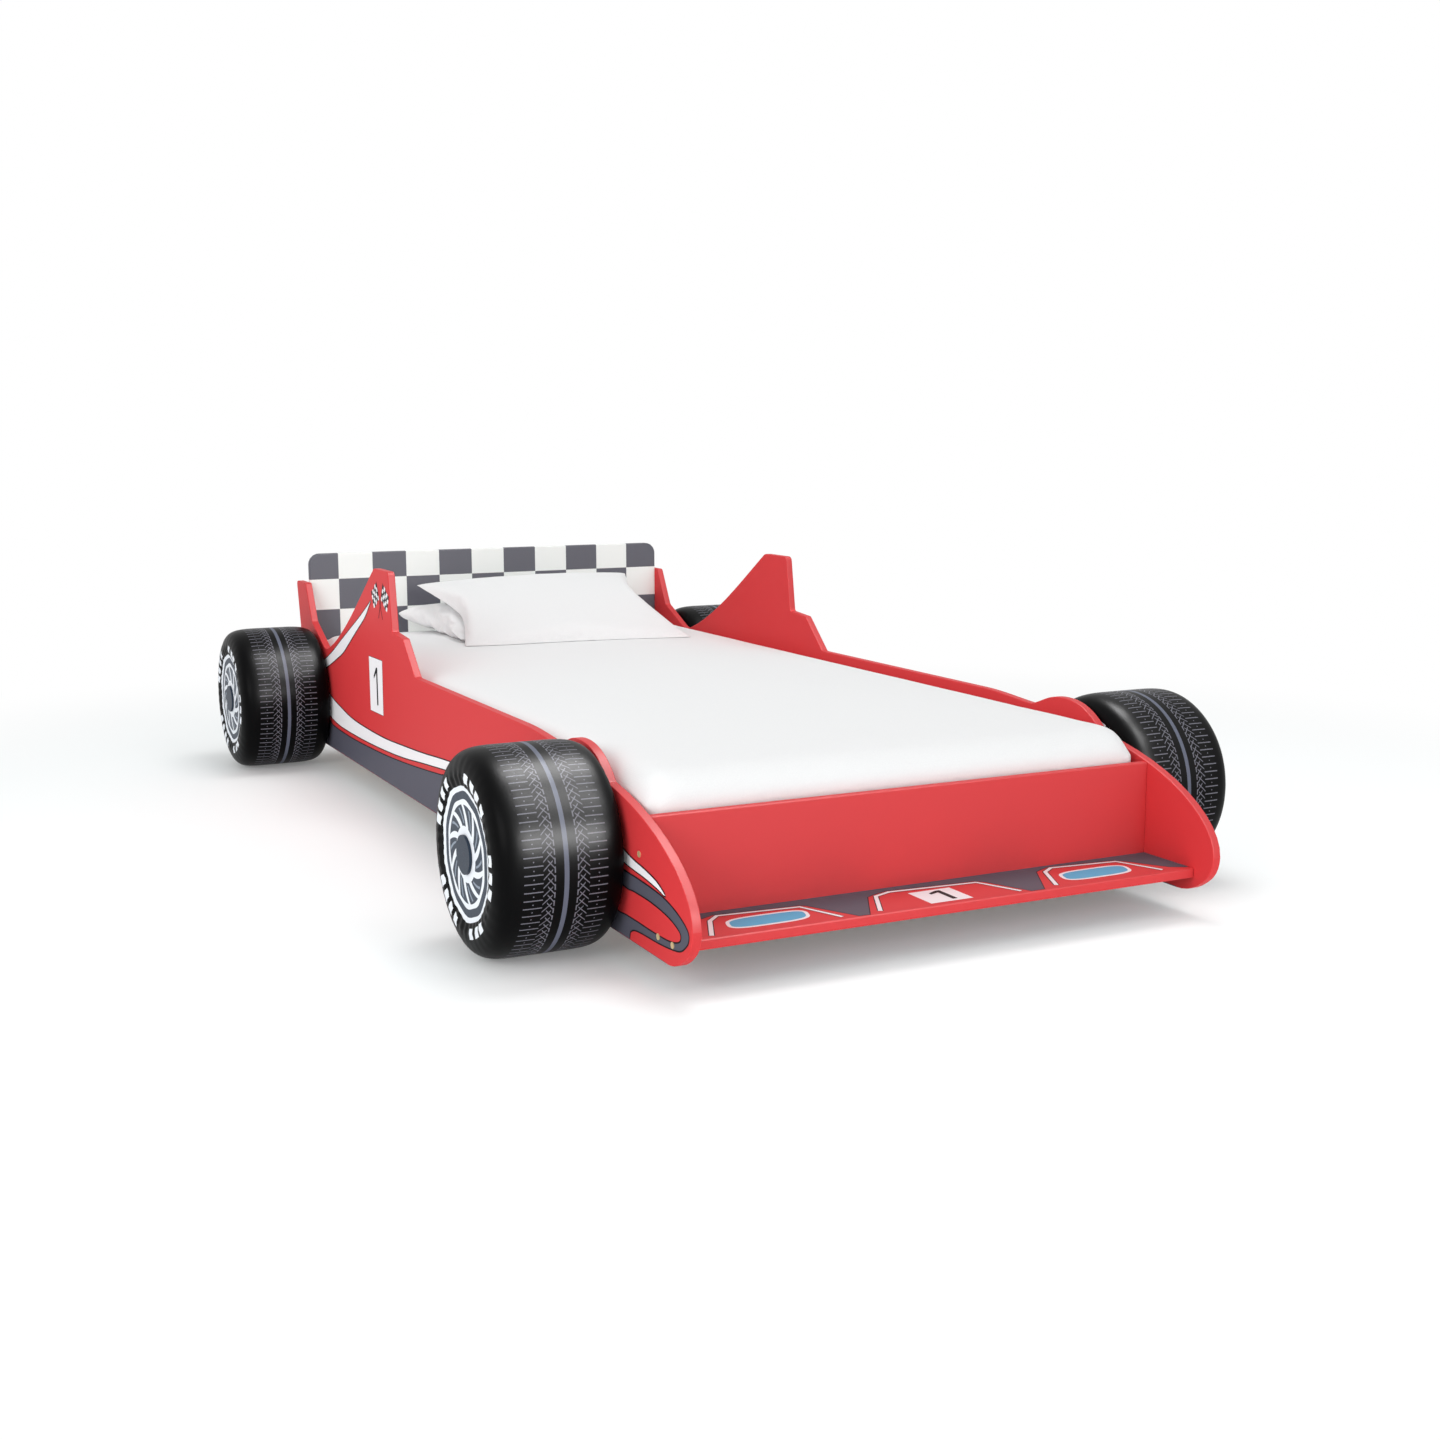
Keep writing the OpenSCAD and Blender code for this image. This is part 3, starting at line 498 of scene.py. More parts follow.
for side, word in ((-1, "left"), (1, "right")):
    for lean, hand in ((-1, "front"), (1, "rear")):
        flagCells(lean, whitePrint, 0, "flagWhite", "flag white cells %s %s" % (hand, word), side)
        flagCells(lean, inkPrint, 1, "flagDark", "flag dark cells %s %s" % (hand, word), side)
        flagPole(lean, "flag pole %s %s" % (hand, word), side)
print("side prints made")

shelf = {
    "lines": [[[-413, -111], [-382, -43], [-361, -23], [-229, -36], [-199, -110]],
              [[-133, -109], [-96, -36], [-65, -24], [88, -37], [121, -110]],
              [[191, -107], [225, -33], [249, -16], [371, -30], [403, -107]]],
    "lineMm": 7,
    "edgeMm": 1.5,
    "slate": [[-455, 0], [-455, -30], [-405, -29], [-388, -27], [-364, -16], [-227, -28],
              [-217, -34], [-174, -117], [-157, -118], [-110, -34], [-94, -26], [-66, -16],
              [90, -29], [103, -42], [136, -117], [160, -117], [212, -26], [228, -17], [250, -8],
              [373, -22], [389, -40], [426, -97], [448, -109], [455, -109], [455, 0]],
    "block": {"middle": [-302, -72], "half": [62, 21], "slant": 0.3, "squareness": 0.55,
              "points": 40, "borderMm": 6},
    "blockSteps": [0, 597],
    "plate": [[-43, -109], [33, -109], [33, -43], [-43, -43]],
    "layers": {"slateEdge": 0.6, "slate": 1, "blockEdge": 1, "plate": 1, "lineEdge": 1.5,
               "line": 2, "block": 2, "figure": 2},
    "figure": [[-15, -59], [2, -50], [10, -50], [10, -101], [1, -101], [1, -60], [-15, -66]],
}


def toShelf(point):
    x, y = point
    k, s = drawing["scale"], drawing["tilt"]
    return [x * k, (y + s * drawing["shelfRise"]) * k - bed["originY"]]


def shelfPiece(name, outline, material, layer):
    bm = bmesh.new()
    z = (bed["shelfTop"] + boards["printLiftMm"] * shelf["layers"][layer]) * mm
    face = bm.faces.new([bm.verts.new((x * mm, y * mm, z)) for x, y in outline])
    face.normal_update()
    if face.normal.z < 0:
        bmesh.ops.reverse_faces(bm, faces=bm.faces)
    bmesh.ops.triangulate(bm, faces=bm.faces)
    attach(addObject(name, bm, [material]), "bed")


def ribbon(points, width):
    # both sides of a line, with mitred corners
    left, right = [], []
    for i, point in enumerate(points):
        here = Vector(point)
        ahead = Vector(points[min(i + 1, len(points) - 1)]) - here
        back = here - Vector(points[max(i - 1, 0)])
        direction = ((ahead.normalized() if ahead.length else Vector((0, 0)))
                     + (back.normalized() if back.length else Vector((0, 0)))).normalized()
        across = Vector((-direction.y, direction.x)) * width / 2
        left.append(list(here + across))
        right.append(list(here - across))
    return left + right[::-1]


field = [toShelf(p) for p in shelf["slate"]]
shelfPiece("shelf slate edge", widened(field, shelf["edgeMm"]), inkPrint, "slateEdge")
shelfPiece("shelf slate", field, slatePrint, "slate")
for i, picked in enumerate(shelf["lines"]):
    line = [toShelf(p) for p in picked]
    shelfPiece("shelf line edge %d" % i, ribbon(line, shelf["lineMm"] + 2 * shelf["edgeMm"]),
               inkPrint, "lineEdge")
    shelfPiece("shelf line %d" % i, ribbon(line, shelf["lineMm"]), whitePrint, "line")
for i, step in enumerate(shelf["blockSteps"]):
    # plain slanted blocks with rounded corners in the outer bays
    look = shelf["block"]
    shape = []
    for k in range(look["points"]):
        turn = 2 * math.pi * k / look["points"]
        u, v = [math.copysign(abs(part) ** look["squareness"], part) * half
                for part, half in zip((math.cos(turn), math.sin(turn)), look["half"])]
        shape.append(toShelf([look["middle"][0] + step + u + v * look["slant"],
                              look["middle"][1] + v]))
    shelfPiece("shelf block edge %d" % i, widened(shape, look["borderMm"]), whitePrint,
               "blockEdge")
    shelfPiece("shelf block %d" % i, shape, bluePrint, "block")
shelfPiece("shelf plate", [toShelf(p) for p in shelf["plate"]], whitePrint, "plate")
shelfPiece("shelf figure", [toShelf(p) for p in shelf["figure"]], inkPrint, "figure")
print("shelf print made")

# the inflated skin: the rings of its face are [radius, distance out from the disc], from the sleeve
# over the drawn-in disc to the weld, and puckers and dents are [radius, width] of where they lie
tyre = {"radius": 167, "width": 214, "disc": 101, "treadPower": 8, "wallPower": 6.4,
        "skinTurns": 160, "face": [[19.6, 0], [60, -0.4], [98, -0.6], [104, 0], [108, 2.2]],
        "shoulder": [74, -4], "sideFrom": 80, "weld": [118, 12], "edge": [146, 9],
        "puckers": 38, "puckerMm": 3.4, "edgePuckerMm": 0.7, "puckerDepth": [0.6, 0.4],
        "puckerDrift": 3, "puckerSway": [2, 3], "dentMm": 1.4, "dentFrom": 30, "dentAlongMm": 90,
        "dents": 1.6, "seedSteps": [3.1, 0.01], "mergeMm": 0.001, "curveSteps": 3,
        "smoothTurn": 60}
# the print on it, in millimetres from the axle or from the wheel's middle, and in shares of a turn
wheelPrint = {"white": "#E6EAF0", "slate": "#3D4551", "vein": "#8C96A4", "black": "#070708",
              "line": "#74747E", "centre": "#666B7B", "spokes": 10, "treads": 78, "sideFrom": 88,
              "hub": 27, "window": [45, 78], "windowWidth": [0.25, 34, 0.0036],
              "swirl": [36, 0.018], "veinRun": [49, 74], "veinSpan": [0.5, 0.62],
              "greyRing": [86, 99], "whiteTo": 107,
              "blocks": 30, "blockRun": [115, 132], "blockShare": 0.66,
              "blockTurns": [[0.26, 0.395], [0.46, 0.56], [0.63, 0.73], [0.795, 0.93],
                             [0.03, 0.165]],
              "crossLine": [37, 67], "crossShare": 0.14, "dot": [52, 0.58], "dotHalf": [1.1, 0.085],
              "chevrons": [[[18, 30], 0.085, 0.18], [[22, 37], -0.07, 0.16]],
              "spine": [17.5, 19.5], "spineShare": 0.3, "centreHalf": 3.8}
# PVC film, printed flat, welded and blown up: black with broad soft highlights, which slow dents
# of 17 mm in the thin film break up
vinyl = {"roughness": 0.36, "gloss": 0.04, "dentMm": 16.7, "dentStrength": 0.12}
tread, tree, shader = newMaterial("printed vinyl film, welded and inflated", IOR=1.52,
                                  Roughness=vinyl["roughness"], Specular_IOR_Level=vinyl["gloss"])
place = addNode(tree, "TexCoord")
skinGrain = addNode(tree, "TexNoise", {"Vector": place.outputs["Object"],
                                       "Scale": perMetre(vinyl["dentMm"]), "Detail": 3.0})
skinBump = addNode(tree, "Bump", {"Height": skinGrain.outputs["Fac"],
                                  "Strength": vinyl["dentStrength"], "Distance": 0.0012})
tree.links.new(skinBump.outputs["Normal"], shader.inputs["Normal"])


def between(value, span):
    # mask: 1 where the value lies inside the span
    above = addNode(tree, "Math", {0: value, 1: span[0]}, operation="GREATER_THAN")
    below = addNode(tree, "Math", {0: value, 1: span[1]}, operation="LESS_THAN")
    return addNode(tree, "Math", {0: above, 1: below}, operation="MULTIPLY")


def joined(masks, operation):
    # one mask of several: MAXIMUM where any of them holds, MULTIPLY where all do
    total = masks[0]
    for mask in masks[1:]:
        total = addNode(tree, "Math", {0: total, 1: mask}, operation=operation)
    return total


skinPlace = addNode(tree, "Attribute", attribute_name="skinPlace")  # out from the middle, along, up
split = addNode(tree, "SeparateXYZ", {"Vector": skinPlace.outputs["Vector"]})
outwards, along, upwards = [
    addNode(tree, "Math", {0: split.outputs[axis], 1: 1 / mm}, operation="MULTIPLY")
    for axis in "XYZ"]
turned = addNode(tree, "Math", {0: upwards, 1: along}, operation="ARCTAN2")
angle = addNode(tree, "Math", {0: turned, 1: 2 * math.pi}, operation="DIVIDE")
squares = [addNode(tree, "Math", {0: part, 1: part}, operation="MULTIPLY")
           for part in (along, upwards)]
squared = addNode(tree, "Math", {0: squares[0], 1: squares[1]}, operation="ADD")
radius = addNode(tree, "Math", {0: squared}, operation="SQRT")
across = addNode(tree, "Math", {0: outwards}, operation="ABSOLUTE")
onSide = addNode(tree, "Math", {0: across, 1: wheelPrint["sideFrom"]}, operation="GREATER_THAN")
onTread = addNode(tree, "Math", {0: across, 1: wheelPrint["sideFrom"]}, operation="LESS_THAN")

# hub: white swirls round slate windows, in rings that bulge a millimetre at each spoke
bulgeTurn = addNode(tree, "Math", {0: angle, 1: 2 * math.pi * wheelPrint["spokes"]},
                    operation="MULTIPLY")
bulge = addNode(tree, "Math", {0: bulgeTurn}, operation="COSINE")
ring = addNode(tree, "Math", {0: radius, 1: bulge}, operation="ADD")
swirlFrom, swirlLean = wheelPrint["swirl"]
swirl = addNode(tree, "Math", {0: radius, 1: swirlFrom}, operation="SUBTRACT")
swirl = addNode(tree, "Math", {0: swirl, 1: swirlLean}, operation="MULTIPLY")
spoke = addNode(tree, "Math", {0: angle, 1: wheelPrint["spokes"]}, operation="MULTIPLY")
spoke = addNode(tree, "Math", {0: spoke, 1: swirl}, operation="ADD")
sector = addNode(tree, "Math", {0: spoke}, operation="FRACT")
narrow, widensFrom, widens = wheelPrint["windowWidth"]
half = addNode(tree, "Math", {0: radius, 1: widensFrom}, operation="SUBTRACT")
half = addNode(tree, "Math", {0: half, 1: widens, 2: narrow}, operation="MULTIPLY_ADD")
offMiddle = addNode(tree, "Math", {0: sector, 1: 0.5}, operation="SUBTRACT")
offMiddle = addNode(tree, "Math", {0: offMiddle}, operation="ABSOLUTE")
opening = addNode(tree, "Math", {0: offMiddle, 1: half}, operation="LESS_THAN")
window = joined([opening, between(radius, wheelPrint["window"])], "MULTIPLY")
vein = joined([onSide, window, between(sector, wheelPrint["veinSpan"]),
               between(radius, wheelPrint["veinRun"])], "MULTIPLY")
hub = addNode(tree, "Math", {0: radius, 1: wheelPrint["hub"]}, operation="LESS_THAN")
dark = joined([window, between(ring, wheelPrint["greyRing"]), hub], "MAXIMUM")
hubSlate = joined([onSide, dark], "MULTIPLY")
pale = addNode(tree, "Math", {0: ring, 1: wheelPrint["whiteTo"]}, operation="LESS_THAN")
hubWhite = joined([onSide, pale], "MULTIPLY")

# five rows of plain blocks on the side wall
turnShare = addNode(tree, "Math", {0: angle, 1: 1.0}, operation="ADD")
turnShare = addNode(tree, "Math", {0: turnShare}, operation="FRACT")
blockPlace = addNode(tree, "Math", {0: turnShare, 1: wheelPrint["blocks"]}, operation="MULTIPLY")
blockPlace = addNode(tree, "Math", {0: blockPlace}, operation="FRACT")
filled = addNode(tree, "Math", {0: blockPlace, 1: wheelPrint["blockShare"]}, operation="LESS_THAN")
rows = joined([between(turnShare, span) for span in wheelPrint["blockTurns"]], "MAXIMUM")
blocks = joined([onSide, between(radius, wheelPrint["blockRun"]), filled, rows], "MULTIPLY")

# tread: cross lines with dots between them, chevrons, and a band round the middle
treadTurn = addNode(tree, "Math", {0: angle, 1: wheelPrint["treads"]}, operation="MULTIPLY")
lineShare = addNode(tree, "Math", {0: treadTurn}, operation="FRACT")
onLine = addNode(tree, "Math", {0: lineShare, 1: wheelPrint["crossShare"]}, operation="LESS_THAN")
crossLines = joined([between(across, wheelPrint["crossLine"]), onLine], "MULTIPLY")
offDot = []
for value, middle, reach in zip((across, lineShare), wheelPrint["dot"], wheelPrint["dotHalf"]):
    off = addNode(tree, "Math", {0: value, 1: middle}, operation="SUBTRACT")
    off = addNode(tree, "Math", {0: off, 1: reach}, operation="DIVIDE")
    offDot.append(addNode(tree, "Math", {0: off, 1: off}, operation="MULTIPLY"))
offDot = addNode(tree, "Math", {0: offDot[0], 1: offDot[1]}, operation="ADD")
marks = [crossLines, addNode(tree, "Math", {0: offDot, 1: 1.0}, operation="LESS_THAN")]
for span, slant, share in wheelPrint["chevrons"]:
    slanted = addNode(tree, "Math", {0: across, 1: slant, 2: treadTurn}, operation="MULTIPLY_ADD")
    slanted = addNode(tree, "Math", {0: slanted}, operation="FRACT")
    stroke = addNode(tree, "Math", {0: slanted, 1: share}, operation="LESS_THAN")
    marks.append(joined([between(across, span), stroke], "MULTIPLY"))
spine = addNode(tree, "Math", {0: lineShare, 1: wheelPrint["spineShare"]}, operation="GREATER_THAN")
marks.append(joined([between(across, wheelPrint["spine"]), spine], "MULTIPLY"))
treadLines = joined([onTread, joined(marks, "MAXIMUM")], "MULTIPLY")
centreBand = addNode(tree, "Math", {0: across, 1: wheelPrint["centreHalf"]}, operation="LESS_THAN")

colour = linear(wheelPrint["black"])
for mask, ink in ((treadLines, "line"), (centreBand, "centre"), (blocks, "white"),
                  (hubWhite, "white"), (hubSlate, "slate"), (vein, "vein")):
    painted = addNode(tree, "Mix", {"Factor": mask, "A": colour, "B": linear(wheelPrint[ink])},
                      data_type="RGBA")
    colour = painted.outputs[2]
tree.links.new(colour, shader.inputs["Base Color"])

# half of the section, radius and distance out from the middle: the face, then the square shoulder
section = [[r, tyre["disc"] + out] for r, out in tyre["face"]]
shoulderFrom, shoulderStep = tyre["shoulder"]
squeeze = math.sin(math.radians(shoulderFrom)) ** (2 / tyre["wallPower"])
for degrees in range(shoulderFrom, -1, shoulderStep):
    turn = math.radians(degrees)
    section.append([tyre["radius"] * math.cos(turn) ** (2 / tyre["treadPower"]),
                    tyre["width"] / 2 * math.sin(turn) ** (2 / tyre["wallPower"]) / squeeze])


def inflatedWheel(nodeName, side, axleY):
    bm = bmesh.new()
    line = throughPoints(section, tyre["curveSteps"])
    line = line + [[r, -x] for r, x in line[-2::-1]]
    centre = Vector((side * bed["wheelX"], axleY - bed["originY"], bed["axleZ"]))
    verts = [bm.verts.new((side * x, 0, r)) for r, x in line]
    edges = [bm.edges.new(pair) for pair in zip(verts, verts[1:])]
    bmesh.ops.spin(bm, geom=verts + edges, cent=(0, 0, 0), axis=(1, 0, 0),
                   angle=math.radians(360), steps=tyre["skinTurns"], use_merge=True,
                   use_normal_flip=False, use_duplicate=False)
    bmesh.ops.remove_doubles(bm, verts=bm.verts, dist=tyre["mergeMm"])
    # close the sleeve
    inner = [e for e in bm.edges if e.is_boundary]
    bmesh.ops.bridge_loops(bm, edges=inner)
    layer = bm.verts.layers.float_vector.new("skinPlace")
    for vert in bm.verts:
        vert[layer] = Vector((vert.co.x * side, vert.co.y, vert.co.z)) * mm
    # each wheel is dented in its own way
    seed = Vector((side * tyre["seedSteps"][0], axleY * tyre["seedSteps"][1], 0))
    depthMean, depthVaries = tyre["puckerDepth"]
    sway, swayTurns = tyre["puckerSway"]
    for vert in bm.verts:
        r = math.hypot(vert.co.y, vert.co.z)
        a = math.atan2(vert.co.z, vert.co.y)
        onFace = abs(vert.co.x) > tyre["sideFrom"]
        nearWeld, nearEdge = [math.exp(-((r - middle) / width) ** 2) if onFace else 0
                              for middle, width in (tyre["weld"], tyre["edge"])]
        # the film gathers in puckers round the weld, now deeper and now shallower
        drift = Vector((a * tyre["puckerDrift"], 0, 0))
        depth = depthMean + depthVaries * noise.noise(seed + drift)
        wave = math.sin(a * tyre["puckers"] + sway * math.sin(swayTurns * a)) * depth + 1
        inwards = -math.copysign(1, vert.co.x)
        vert.co.x += inwards * nearWeld * wave * tyre["puckerMm"] / 2
        spot = Vector((math.cos(a), math.sin(a), vert.co.x / tyre["dentAlongMm"]))
        soft = noise.noise(seed + spot * tyre["dents"]) + 1
        if r > tyre["dentFrom"]:
            vert.co.y -= math.cos(a) * soft * tyre["dentMm"] / 2
            vert.co.z -= math.sin(a) * soft * tyre["dentMm"] / 2
            vert.co.x += inwards * nearEdge * wave * tyre["edgePuckerMm"] / 2
    bmesh.ops.translate(bm, verts=bm.verts, vec=centre)
    bmesh.ops.scale(bm, verts=bm.verts, vec=Vector((mm, mm, mm)))
    bmesh.ops.recalc_face_normals(bm, faces=bm.faces)
    smoothByAngle(bm, tyre["smoothTurn"])
    obj = addObject(nodeName + " skin", bm, [tread])
    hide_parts(nodeName)
    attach(obj, nodeName.replace("wheel_", "wheel_unit_"))


for end, axleY in bed["axleYs"].items():
    for side, word in ((-1, "left"), (1, "right")):
        inflatedWheel("wheel_%s_%s" % (end, word), side, axleY)
print("wheels made")

# Mattress under a plain fitted sheet, and two pillows in plain cases. Sizes in millimetres,
# corners as (x, y from the front board), left front first and then round against the clock
mattress = {"half": [468, 1007], "middleY": 1025, "deck": 143.4, "top": 303, "crown": 10,
            "easing": 12, "cornerRound": 28, "segments": 6, "round": [48, 56], "drop": 42,
            "alongShare": 0.9, "sharpRadians": 1, "voxel": 15, "pressure": 4, "frames": 14,
            "cap": 4, "fill": 0.9, "waveMm": 0.6, "waves": [7, 5], "waveSeed": 3}
pillows = {
    "pillow_front": {"size": [600, 440], "dome": 12, "cell": 8, "draw": [22, 6], "pressure": 1.0,
                     "frames": 30, "slack": 0.0, "gather": 0.0, "cap": 60, "top": 38, "under": 10,
                     "corners": [[-234, 1566], [330, 1506], [318, 1884], [-232, 1942]],
                     "seams": [310.5, 308, 438, 424], "fill": 0.7, "straight": 0.06,
                     "plump": 1.0},
    "pillow_back": {"size": [600, 440], "dome": 16, "cell": 8, "draw": [10, 12], "pressure": 1.6,
                    "frames": 26, "slack": -0.015, "gather": 0.03, "cap": 60, "top": 40,
                    "under": 38, "corners": [[-232, 1640], [322, 1600], [304, 2004], [-268, 1990]],
                    "seams": [326, 330, 334, 350], "fill": 0.5, "straight": 0.0, "plump": 0.62},
}
# how both pillows are shaped: powers that keep the middle flat, draw the sides in and press the
# lower one, and the air left between them and what they lie on
caseForm = {"flat": 4, "dome": 0.6, "drawAlong": 1.6, "drawIn": 6, "pressed": 2.6, "press": 0.7,
            "seatMm": 0.8, "underMm": 0.6, "leastMm": 5, "spareMm": 1}
leaning = {"tilt": 15, "turn": -8, "clearLeft": -212, "fade": 60, "gapMm": 1.5, "freeMm": 60}

# Cotton in a plain weave, washed and pulled tight: bright, quite without gloss, its threads a faint
# tooth up close and soft creases over a hand's width. The real threads, 0.3 mm apart, would not
# show, so they are drawn 2.4 mm apart
cloth = {"warp": "#F2F3F3", "weft": "#E9EAEB", "roughness": 0.86, "sheen": 0.04, "gloss": 0.03,
         "threadMm": 2.4, "threadStrength": 0.1, "creaseMm": 111, "creaseStrength": 0.16}
cotton, tree, shader = newMaterial("white cotton, woven plain", Roughness=cloth["roughness"],
                                   Sheen_Weight=cloth["sheen"],
                                   Specular_IOR_Level=cloth["gloss"])
place = addNode(tree, "TexCoord")
threads = [addNode(tree, "TexWave", {"Vector": place.outputs["Object"],
                                     "Scale": bandsPerMetre(cloth["threadMm"]),
                                     "Distortion": 0.6, "Detail": 1.0, "Detail Scale": 2.0},
                   bands_direction=axis) for axis in ("X", "Y")]
weave = addNode(tree, "Math", {0: threads[0].outputs["Fac"], 1: threads[1].outputs["Fac"]},
                operation="ADD")
crumple = addNode(tree, "TexNoise", {"Vector": place.outputs["Object"],
                                     "Scale": perMetre(cloth["creaseMm"]), "Detail": 3.0,
                                     "Roughness": 0.45, "Distortion": 0.8})
weaveBump = addNode(tree, "Bump", {"Height": weave.outputs[0],
                                   "Strength": cloth["threadStrength"], "Distance": 0.0004})
crumpleBump = addNode(tree, "Bump", {"Height": crumple.outputs["Fac"],
                                     "Strength": cloth["creaseStrength"], "Distance": 0.006,
                                     "Normal": weaveBump.outputs["Normal"]})
tree.links.new(crumpleBump.outputs["Normal"], shader.inputs["Normal"])
yarn = addNode(tree, "TexNoise", {"Vector": place.outputs["Object"],
                                  "Scale": perMetre(cloth["threadMm"]), "Detail": 2.0})
shade = addNode(tree, "ValToRGB", {"Fac": yarn.outputs["Fac"]})
shade.color_ramp.elements[0].color = linear(cloth["weft"])
shade.color_ramp.elements[1].color = linear(cloth["warp"])
tree.links.new(shade.outputs["Color"], shader.inputs["Base Color"])


def mattressTop(x, y):
    # height of the crowned mattress, y counted from the front board
    halfX, halfY = mattress["half"]
    inX, inY = halfX - abs(x), halfY - abs(y - mattress["middleY"])
    crown = mattress["crown"] * (1 - max(0, min(1, 1 - min(inX / halfX, inY / halfY))) ** 2)
    # the padded top edge rolls over all round
    roundX, roundY = mattress["round"]
    roll = math.hypot(max(0, 1 - inX / roundX), max(0, 1 - inY / roundY))
    return mattress["top"] + crown - mattress["drop"] * (1 - math.sqrt(1 - min(roll, 1) ** 2))


def cloudOf(points):
    return [[pick(p[i] for p in points) for i in range(3)] for pick in (min, max)]


def puffUp(obj, pressure, frames, capMm, slack=0.0, gather=0.0, seam=()):
    # air pressed into the cover by Blender's cloth, each point held within the cap
    air = obj.modifiers.new("puff", "CLOTH")
    settings = air.settings
    settings.quality = 5
    settings.use_pressure = True
    settings.uniform_pressure_force = pressure
    settings.effector_weights.gravity = 0
    settings.bending_stiffness = 0.5
    if len(seam):
        group = obj.vertex_groups.new(name="seam")
        group.add(list(seam), 1.0, "REPLACE")
        settings.vertex_group_shrink = "seam"
        settings.shrink_min = slack
        settings.shrink_max = gather
    air.collision_settings.use_collision = False
    air.point_cache.frame_end = frames + 5
    for step in range(1, frames + 1):
        bpy.context.scene.frame_set(step)
    puffed = obj.evaluated_get(bpy.context.evaluated_depsgraph_get()).to_mesh()
    targets = [vert.co.copy() for vert in puffed.vertices]
    obj.modifiers.remove(air)
    for vert, target in zip(obj.data.vertices, targets):
        move = target - vert.co
        if move.length > capMm * mm:
            move *= capMm * mm / move.length
        vert.co += move
    bpy.context.scene.frame_set(1)


def softPiece(obj, nodeName):
    for face in obj.data.polygons:
        face.use_smooth = True
    rounder = obj.modifiers.new("smoother", "SUBSURF")
    rounder.levels = rounder.render_levels = 1
    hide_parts(nodeName)
    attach(obj, "bed")


def fittedMattress():
    bm = bmesh.new()
    bmesh.ops.create_cube(bm, size=2)
    height = mattress["top"] - mattress["deck"]
    halfX, halfY = mattress["half"]
    bmesh.ops.scale(bm, verts=bm.verts, vec=Vector((halfX * mm, halfY * mm,
                                                    height / 2 * mm)))

    def roundOff(edges, radius):
        bmesh.ops.bevel(bm, geom=edges, offset=radius * mm, offset_type="OFFSET",
                        segments=mattress["segments"], profile=0.5, affect="EDGES", material=-1,
                        clamp_overlap=True)

    def runs(edge, axis):
        along = edge.verts[0].co - edge.verts[1].co
        return abs(along[axis]) > along.length * mattress["alongShare"]

    def sharpEdges():
        return [e for e in bm.edges if e.calc_face_angle(0) > mattress["sharpRadians"]]

    roundOff([e for e in bm.edges if runs(e, 2)], mattress["cornerRound"])
    roundOff([e for e in sharpEdges() if not runs(e, 1)], mattress["easing"])
    roundOff([e for e in sharpEdges() if runs(e, 1)], mattress["easing"])
    obj = addObject("mattress fitted sheet", bm, [cotton])
    remesh = obj.modifiers.new("even quads", "REMESH")
    remesh.mode = "VOXEL"
    remesh.voxel_size = mattress["voxel"] * mm
    evaluated = obj.evaluated_get(bpy.context.evaluated_depsgraph_get())
    even = bpy.data.meshes.new_from_object(evaluated)
    obj.modifiers.remove(remesh)
    obj.data = even
    puffUp(obj, mattress["pressure"], mattress["frames"], mattress["cap"])
    low, high = cloudOf([v.co for v in obj.data.vertices])
    waveX, waveY = mattress["waves"]
    for vert in obj.data.vertices:
        # back to its size after the swelling, then set on the slats and crowned
        vert.co.x *= halfX * mm / high[0]
        vert.co.y *= halfY * mm / high[1]
        share = (vert.co.z - low[2]) / (high[2] - low[2])
        y = vert.co.y / mm + mattress["middleY"]
        top = mattressTop(vert.co.x / mm, y)
        wave = Vector((vert.co.x * waveX, vert.co.y * waveY, mattress["waveSeed"]))
        soft = noise.noise(wave) * mattress["waveMm"]
        vert.co.z = (mattress["deck"] + share * (top + soft - mattress["deck"])) * mm
        vert.co.y += (mattress["middleY"] - bed["originY"]) * mm
    softPiece(obj, "mattress")


def underLeaning(x, y):
    # height of the leaning pillow's underside, which ends a little left of its left corners
    look = pillows["pillow_front"]
    (x0, y0), (x1, y1), (x2, y2), (x3, y3) = look["corners"]
    u = (x - (x0 + x3) / 2) / ((x1 + x2 - x0 - x3) / 2)
    v = (y - (y0 + y1) / 2) / ((y2 + y3 - y0 - y1) / 2)
    z0, z1, z2, z3 = look["seams"]
    free = max(0, leaning["clearLeft"] - x) / leaning["fade"]
    seam = (z0 + (z1 - z0) * u) * (1 - v) + (z3 + (z2 - z3) * u) * v
    return seam - look["under"] - leaning["gapMm"] + leaning["freeMm"] * free


